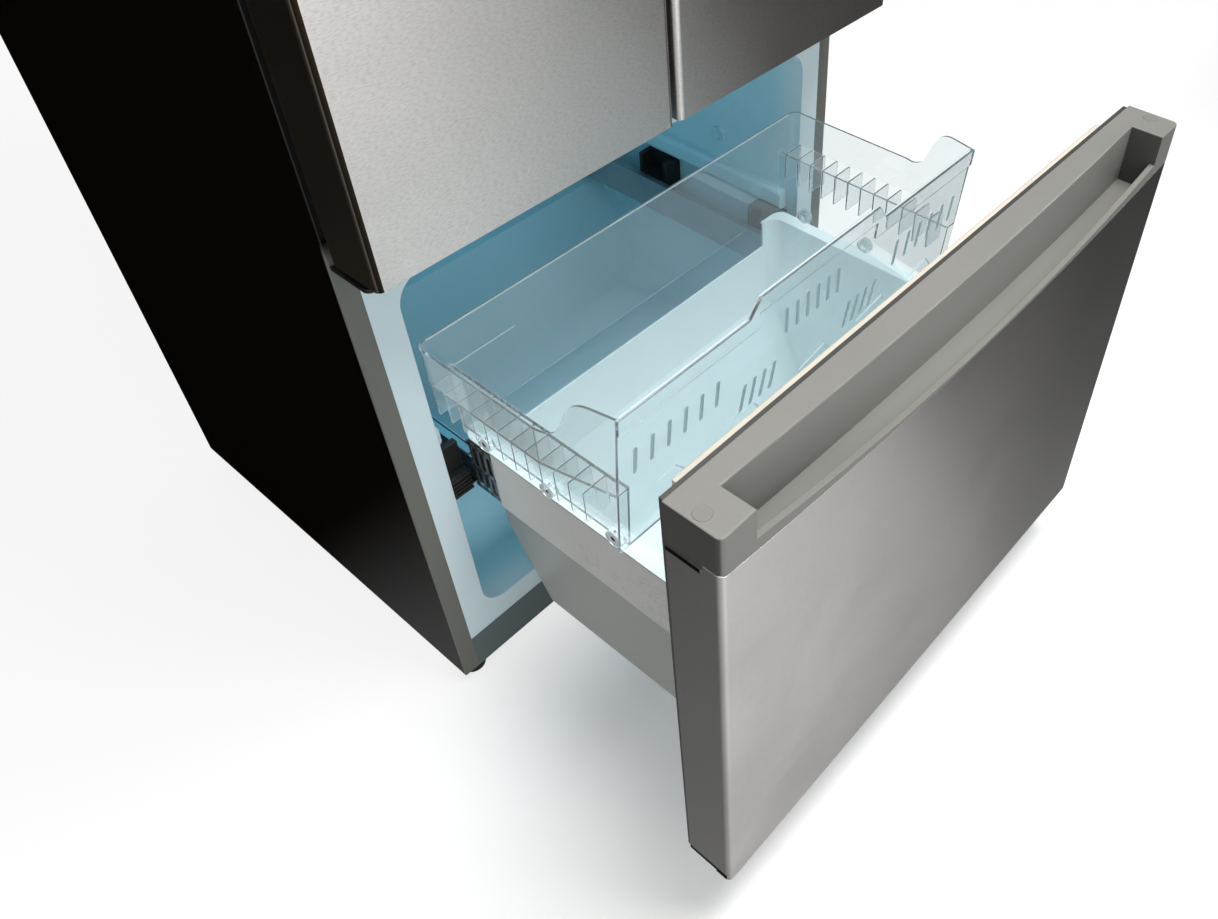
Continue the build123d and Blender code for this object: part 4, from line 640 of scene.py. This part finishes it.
GLIDE_GAP = 0.3
GLIDE_RADIUS = 11.0
GLIDE_Z = BIN_TOP + GLIDE_GAP + GLIDE_RADIUS
GLIDE_TIP = TRAY_SIDE - 26.0
GLIDES_FROM_REAR = (50.0, 158.0, 264.0)
WASHER = [(9.6, -1.2), (9.6, -0.3), (9.0, 0.0), (4.6, 0.0), (4.2, -0.4)]
HOLE_SHADE_DISC = [(3.8, -1.0), (3.8, 0.1), (3.3, 0.35), (1.4, 0.45)]


def front_face(z):
    """The Y place of the front panel's outer face at a height."""
    return FRONT_FOOT_Y - FRONT_LEAN * (z - FRONT_FOOT_Z)


def slot_frame(shape, x, low, high, slant):
    """A rounded slot with its raised rim, whose top end lies aside of its low end by a slant."""
    outer = []
    inner = []
    for angle in angles(SLOT_SIDES):
        end_z = high if math.sin(angle) > 0 else low
        for ring, reach in ((outer, SLOT_WIDTH / 2.0), (inner, SLOT_WIDTH / 2.0 - SLOT_RIM)):
            z = end_z + reach * math.sin(angle)
            centre = x + slant * (z - low) / (high - low)
            ring.append(Vector((centre + reach * math.cos(angle), front_face(z), z)))
    steps = ((outer, RIM_ROOT), (outer, -RIM_HEIGHT), (inner, -RIM_HEIGHT), (inner, -PAD_HEIGHT))
    rings = []
    for ring, depth in steps:
        rings.append([shape.verts.new((point + Vector((0.0, depth, 0.0))) * MM) for point in ring])
    join_rings(shape, rings)
    shape.faces.new(rings[0])
    shape.faces.new(rings[-1])


def slot_row(shape, first, pitch, count, low, high, slant):
    """Evenly spaced slots, from the first one's place across the panel."""
    for step in range(count):
        slot_frame(shape, first + pitch * step, low, high, slant)


def tray_front_slots(shape):
    """Six slots towards each end, four lower ones inside them, and six higher ones in the middle."""
    for side in (-1, 1):
        slot_row(
            shape, first=side * 286.0 - 1.0, pitch=-side * 24.6, count=6,
            low=TRAY_TOP - 118.0, high=TRAY_TOP - 83.0, slant=1.0,
        )
        slot_row(
            shape, first=side * 70.0, pitch=side * 17.0, count=4,
            low=TRAY_TOP - 161.0, high=TRAY_TOP - 124.0, slant=5.0,
        )
    slot_row(
        shape, first=-50.0, pitch=18.5, count=6,
        low=TRAY_TOP - 87.0, high=TRAY_TOP - 51.0, slant=-4.0,
    )


def tray_front_lines(shape):
    """Five low moulded ridges under the slots, each with one end turned down."""
    for ridge in (
        [(-254.0, 0.0), (-227.0, 3.0), (-213.0, -15.0)],
        [(-149.0, 2.0), (-96.0, -4.0), (-84.0, -21.0)],
        [(-14.0, -11.0), (34.0, 0.0), (46.0, -19.0)],
        [(100.0, -9.0), (150.0, 2.0), (164.0, -16.0)],
        [(205.0, -9.0), (250.0, 2.0), (264.0, -16.0)],
    ):
        route = [(x, RIDGE_Z + rise) for x, rise in ridge]
        bead(shape, [(x, front_face(z) - 0.1, z) for x, z in route], radius=0.9)


def on_each_glide(shape, profile, sides):
    """The same turned form at the outer end of every glide."""
    for side in (-1, 1):
        for back in GLIDES_FROM_REAR:
            end = facing_matrix((side * GLIDE_TIP, TRAY_REAR - back, GLIDE_Z), (side, 0, 0))
            turned(shape, profile, end, sides)


def glide_washers(shape):
    """A pale washer round each glide's hole."""
    on_each_glide(shape, WASHER, 28)


def glide_hole_shade(shape):
    """A black disc in the mouth of each glide's hole, as painted shade inside the hole."""
    on_each_glide(shape, HOLE_SHADE_DISC, 20)


def tray_rim_highlights(shape):
    """White beads as painted highlights along the rear wall's rim, a moulded ridge under it, and the front
    panel's raised rim.
    """
    rear = TRAY_REAR - 1.5
    rim_end = TRAY_SIDE - 15.0
    bead(shape, [(-rim_end, rear, REAR_RIM_Z), (rim_end, rear, REAR_RIM_Z)], radius=0.9)
    ridge = (33.0 - TRAY_SIDE, 131.0 - TRAY_SIDE)
    bead(shape, [(x, rear, REAR_RIDGE_Z) for x in ridge], radius=0.8)
    half_rim = [(105.0, RAISED_RIM_Z), (121.0, FRONT_RIM_Z), (TRAY_SIDE - 25.0, FRONT_RIM_Z)]
    whole_rim = [(-x, z) for x, z in reversed(half_rim)] + half_rim
    bead(shape, [(x, front_face(z) + RIM_LINE_BACK, z) for x, z in whole_rim], radius=0.8)


piece("tray_front_slots", "freezer_tray", "clear_plastic", tray_front_slots, FROSTED)
piece("tray_front_lines", "freezer_tray", "clear_plastic", tray_front_lines, FROSTED)
piece("glide_washers", "freezer_tray", "trim_white", glide_washers)
# Painted shade: black discs in the glides' holes.
piece("glide_hole_shade", "freezer_tray", "black_plastic", glide_hole_shade)
# White beads that paint highlights on the tray's rims.
piece("tray_rim_highlights", "freezer_tray", "trim_white", tray_rim_highlights)

# ---- Runners: punched plates with dark shields behind the side panels, end blocks in the cabinet ----
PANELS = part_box("side_panels")
PANEL_OUT = PANELS[1].x / MM
PANEL_REAR = PANELS[1].y / MM
PANEL_LOW = PANELS[0].z / MM
OPENING_Y = FRONT_PLANE / MM

PLATE_FRONT = PANEL_REAR - 1.0
PLATE_REAR = OPENING_Y - 0.6
PLATE_LOW = PANEL_LOW + 6.0
PLATE_HIGH = PANEL_LOW + 88.0
PLATE_BARS = (
    (PLATE_LOW, PLATE_LOW + 6.0),
    (PLATE_LOW + 36.0, PLATE_LOW + 42.0),
    (PLATE_HIGH - 8.0, PLATE_HIGH),
)
POST_COUNT = 4
POST_PITCH = 13.0
POST_WIDTH = 5.0

BLOCK_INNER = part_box("fixed_rails")[1].x / MM + 9.5
BLOCK_OUTER = BLOCK_INNER + 27.5
BLOCK_FRONT = OPENING_Y + 7.4
BLOCK_LOW = PANEL_LOW - 2.0
RIB_COUNT = 5
RIB_PITCH = 6.4
RIB_HEIGHT = 3.4


def on_side(side, inner, outer):
    """Two distances from the middle plane, as X places in rising order on one side."""
    return sorted((side * inner, side * outer))


def rail_end_plates(shape):
    """Three level bars crossed by four posts, behind each side panel."""
    for side in (-1, 1):
        left, right = on_side(side, PANEL_OUT - 1.4, PANEL_OUT - 0.2)
        for low, high in PLATE_BARS:
            chamfered(shape, (left, PLATE_FRONT, low), (right, PLATE_REAR, high), 0.3)
        for step in range(POST_COUNT):
            front = PLATE_FRONT + POST_PITCH * step
            chamfered(shape, (left, front, PLATE_LOW), (right, front + POST_WIDTH, PLATE_HIGH), 0.3)


def rail_end_shields(shape):
    """A dark sheet inside the upper half of each plate."""
    low = PLATE_LOW + 39.0
    high = PLATE_HIGH - 1.0
    for side in (-1, 1):
        left, right = on_side(side, PANEL_OUT - 3.4, PANEL_OUT - 2.6)
        chamfered(shape, (left, PLATE_FRONT, low), (right, PLATE_REAR - 1.0, high), 0.2)


def runner_end_blocks(shape):
    """A block on each side of the opening, with level ribs across its front."""
    for side in (-1, 1):
        left, right = on_side(side, BLOCK_INNER, BLOCK_OUTER)
        chamfered(shape, (left, BLOCK_FRONT, BLOCK_LOW), (right, BLOCK_FRONT + 24.0, BLOCK_LOW + 33.0), 0.8)
        for step in range(RIB_COUNT):
            low = BLOCK_LOW + 2.0 + RIB_PITCH * step
            rib_front = (left - 0.4, BLOCK_FRONT - 4.5, low)
            rib_back = (right + 0.4, BLOCK_FRONT + 2.0, low + RIB_HEIGHT)
            chamfered(shape, rib_front, rib_back, 0.6)


piece("rail_end_plates", "freezer_drawer", "rail_steel", rail_end_plates)
piece("rail_end_shields", "freezer_drawer", "black_plastic", rail_end_shields)
piece("runner_end_blocks", "cabinet", "black_plastic", runner_end_blocks)

# ---- Screws in the rear sheet and the machine cover: pan heads with a small recess ----
SCREW = [(3.4, -1.5), (3.4, 0.1), (3.1, 0.55), (2.2, 0.85), (1.2, 0.85), (0.9, 0.45)]
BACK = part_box("back_panel")
BACK_LOW = BACK[0].z / MM
BACK_TOP = BACK[1].z / MM
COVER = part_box("machine_cover")
EDGE_INSET = 9.0
END_INSET = 12.0
SCREWS_DOWN_SIDE = 7
TOP_PITCH = 125.0
COVER_PITCH = 190.0
FIVE_ACROSS = range(-2, 3)


def rear_screws(shape):
    """Down both sides of the rear sheet, along its top, and along the cover's top and foot."""
    edge = BACK[1].x / MM - EDGE_INSET
    back = BACK[1].y / MM
    pitch = (BACK_TOP - BACK_LOW - 2.0 * END_INSET) / (SCREWS_DOWN_SIDE - 1)
    rows = [BACK_LOW + END_INSET + pitch * step for step in range(SCREWS_DOWN_SIDE)]
    cover_rows = (COVER[0].z / MM + 10.0, COVER[1].z / MM - 8.0)
    places = [(side * edge, back, z) for side in (-1, 1) for z in rows]
    places += [(TOP_PITCH * step, back, BACK_TOP - END_INSET) for step in FIVE_ACROSS]
    places += [(COVER_PITCH * step, COVER[1].y / MM, z) for step in FIVE_ACROSS for z in cover_rows]
    for at in places:
        turned(shape, SCREW, facing_matrix(at, (0, 1, 0)), 20)


piece("rear_screws", "cabinet", "rail_steel", rear_screws)

# ---- Studio: what lights the object, what it mirrors and what is seen behind it ----
AMBIENT = 0.44
SEEN_WHITE = 1.0
OVERHEAD_GLOW = 0.9
SIDE_GLOW = 1.1
FLOOR_REACH = 9.0
FLOOR_TONE = 0.80
FLOOR_SEEN = 1.04
SHADE_EVERYWHERE = 0.22
SHADE_UNDER_DRAWER = 0.72
SHADE_MADE_UP = 0.99


def by_ray(tree, lit, mirrored, seen):
    """One shader for light that falls, one for mirror images, and one for what is seen straight on.
    What a clear part shows from behind it counts as seen, unless a mirror image shows that part."""
    ray = put(tree, "LightPath").outputs
    bounced = maths(tree, "MAXIMUM", ray["Is Glossy Ray"], ray["Is Transmission Ray"])
    unmirrored = maths(tree, "LESS_THAN", ray["Glossy Depth"], 0.5)
    through = maths(tree, "MULTIPLY", ray["Is Transmission Ray"], unmirrored)
    straight = maths(tree, "MAXIMUM", ray["Is Camera Ray"], through)
    unseen = put(tree, "MixShader", {0: bounced, 1: lit.outputs[0], 2: mirrored.outputs[0]})
    return put(tree, "MixShader", {0: straight, 1: unseen.outputs[0], 2: seen.outputs[0]}).outputs[0]


def aside_of(tree, spot):
    """How far a place or a heading lies to the right and to the back."""
    return maths(tree, "ADD", spot[X], maths(tree, "MULTIPLY", spot[Y], 0.7))


def light_world():
    """A plain even sky. Mirrors find it bright on the left and overhead, and dark on the right."""
    world = bpy.data.worlds.new("studio")
    bpy.context.scene.world = world
    world.use_nodes = True
    world.cycles.sampling_method = "NONE"
    tree = world.node_tree
    tree.nodes.clear()
    heading = put(tree, "SeparateXYZ", {0: put(tree, "TexCoord").outputs["Generated"]}).outputs
    leftwards = ramp(tree, aside_of(tree, heading), -0.04, 0.10, SIDE_GLOW, 0.01)
    level_glow = maths(tree, "MULTIPLY", leftwards, ramp(tree, heading[Y], 0.3, -0.3, 0.015, 1.0))
    high_up = ramp(tree, heading[Z], 0.45, 0.95)
    gain = maths(tree, "MULTIPLY", high_up, maths(tree, "SUBTRACT", OVERHEAD_GLOW, level_glow))
    glow = maths(tree, "ADD", level_glow, gain)
    ambient = put(tree, "Background", {"Color": (0.97, 0.99, 1.0, 1.0), "Strength": AMBIENT})
    sky = put(tree, "Background", {"Color": (1.0, 0.99, 0.98, 1.0), "Strength": glow})
    white = put(tree, "Background", {"Color": (1.0, 1.0, 1.0, 1.0), "Strength": SEEN_WHITE})
    put(tree, "OutputWorld", {0: by_ray(tree, ambient, sky, white)})


def floor_shown(tree, spot):
    """The floor as seen: white, with the object's shadow kept, strongest under the drawer."""
    in_front = ramp(tree, spot[Y], -0.02, -0.30)
    under_drawer = maths(tree, "MULTIPLY", in_front, ramp(tree, spot[X], -0.95, -0.60))
    shade = maths(tree, "ADD", SHADE_EVERYWHERE, maths(tree, "MULTIPLY", under_drawer, SHADE_UNDER_DRAWER))
    grey = put(tree, "CombineXYZ", {0: shade, 1: shade, 2: shade}).outputs[0]
    lift = maths(tree, "SUBTRACT", FLOOR_SEEN, maths(tree, "MULTIPLY", shade, SHADE_MADE_UP))
    shadowed = put(tree, "BsdfDiffuse", {"Color": grey})
    glow = put(tree, "Emission", {"Strength": lift})
    return put(tree, "AddShader", {0: shadowed.outputs[0], 1: glow.outputs[0]})


def floor_mirrored(tree, spot):
    """The floor as mirrors find it: bright far in front on the left, faint near by, dark behind."""
    far = ramp(tree, aside_of(tree, spot), -0.36, -0.12, 0.80, 0.01)
    far_glow = maths(tree, "MULTIPLY", far, ramp(tree, spot[Y], -0.70, -1.30))
    near = ramp(tree, spot[X], 0.45, 1.10, 0.18, 0.10)
    near_glow = maths(tree, "MULTIPLY", near, ramp(tree, spot[Y], -1.30, -0.70))
    not_behind = ramp(tree, spot[Y], -0.10, 0.33, 1.0, 0.01)
    glow = maths(tree, "MULTIPLY", maths(tree, "ADD", far_glow, near_glow), not_behind)
    return put(tree, "Emission", {"Strength": glow})


def lay_floor():
    """A wide pale floor under the object."""
    mesh = bpy.data.meshes.new("floor")
    corners = [(x * FLOOR_REACH, y * FLOOR_REACH, 0.0) for x, y in ((-1, -1), (1, -1), (1, 1), (-1, 1))]
    mesh.from_pydata(corners, [], [(0, 1, 2, 3)])
    floor = bpy.data.objects.new("floor", mesh)
    bpy.context.collection.objects.link(floor)
    pale = bpy.data.materials.new("pale studio floor")
    pale.use_nodes = True
    pale.cycles.emission_sampling = "NONE"
    tree = pale.node_tree
    tree.nodes.clear()
    spot = put(tree, "SeparateXYZ", {0: own_place(tree)}).outputs
    matt = put(tree, "BsdfDiffuse", {"Color": (FLOOR_TONE, FLOOR_TONE, FLOOR_TONE, 1.0)})
    surface = by_ray(tree, matt, floor_mirrored(tree, spot), floor_shown(tree, spot))
    put(tree, "OutputMaterial", {0: surface})
    mesh.materials.append(pale)


def lamp(name, at, towards, size, power, colour):
    """A soft square lamp."""
    light = bpy.data.lights.new(name, "AREA")
    light.size = size
    light.energy = power
    light.color = colour
    holder = bpy.data.objects.new(name, light)
    holder.location = at
    holder.rotation_euler = (Vector(towards) - Vector(at)).to_track_quat("-Z", "Y").to_euler()
    bpy.context.collection.objects.link(holder)


light_world()
lay_floor()
lamp(
    "overhead", at=(0.45, -1.0, 3.2), towards=(0.0, -0.4, 0.3),
    size=1.3, power=80.0, colour=(1.0, 0.99, 0.98),
)
lamp(
    "cool inside light", at=(0.0, 0.10, 0.72), towards=(0.0, -0.05, 0.30),
    size=0.34, power=1.0, colour=(0.20, 0.74, 1.0),
)
lamp(
    "front fill", at=(-0.9, -2.4, 1.5), towards=(-0.3, -0.2, 0.5),
    size=1.4, power=14.0, colour=(1.0, 0.99, 0.97),
)
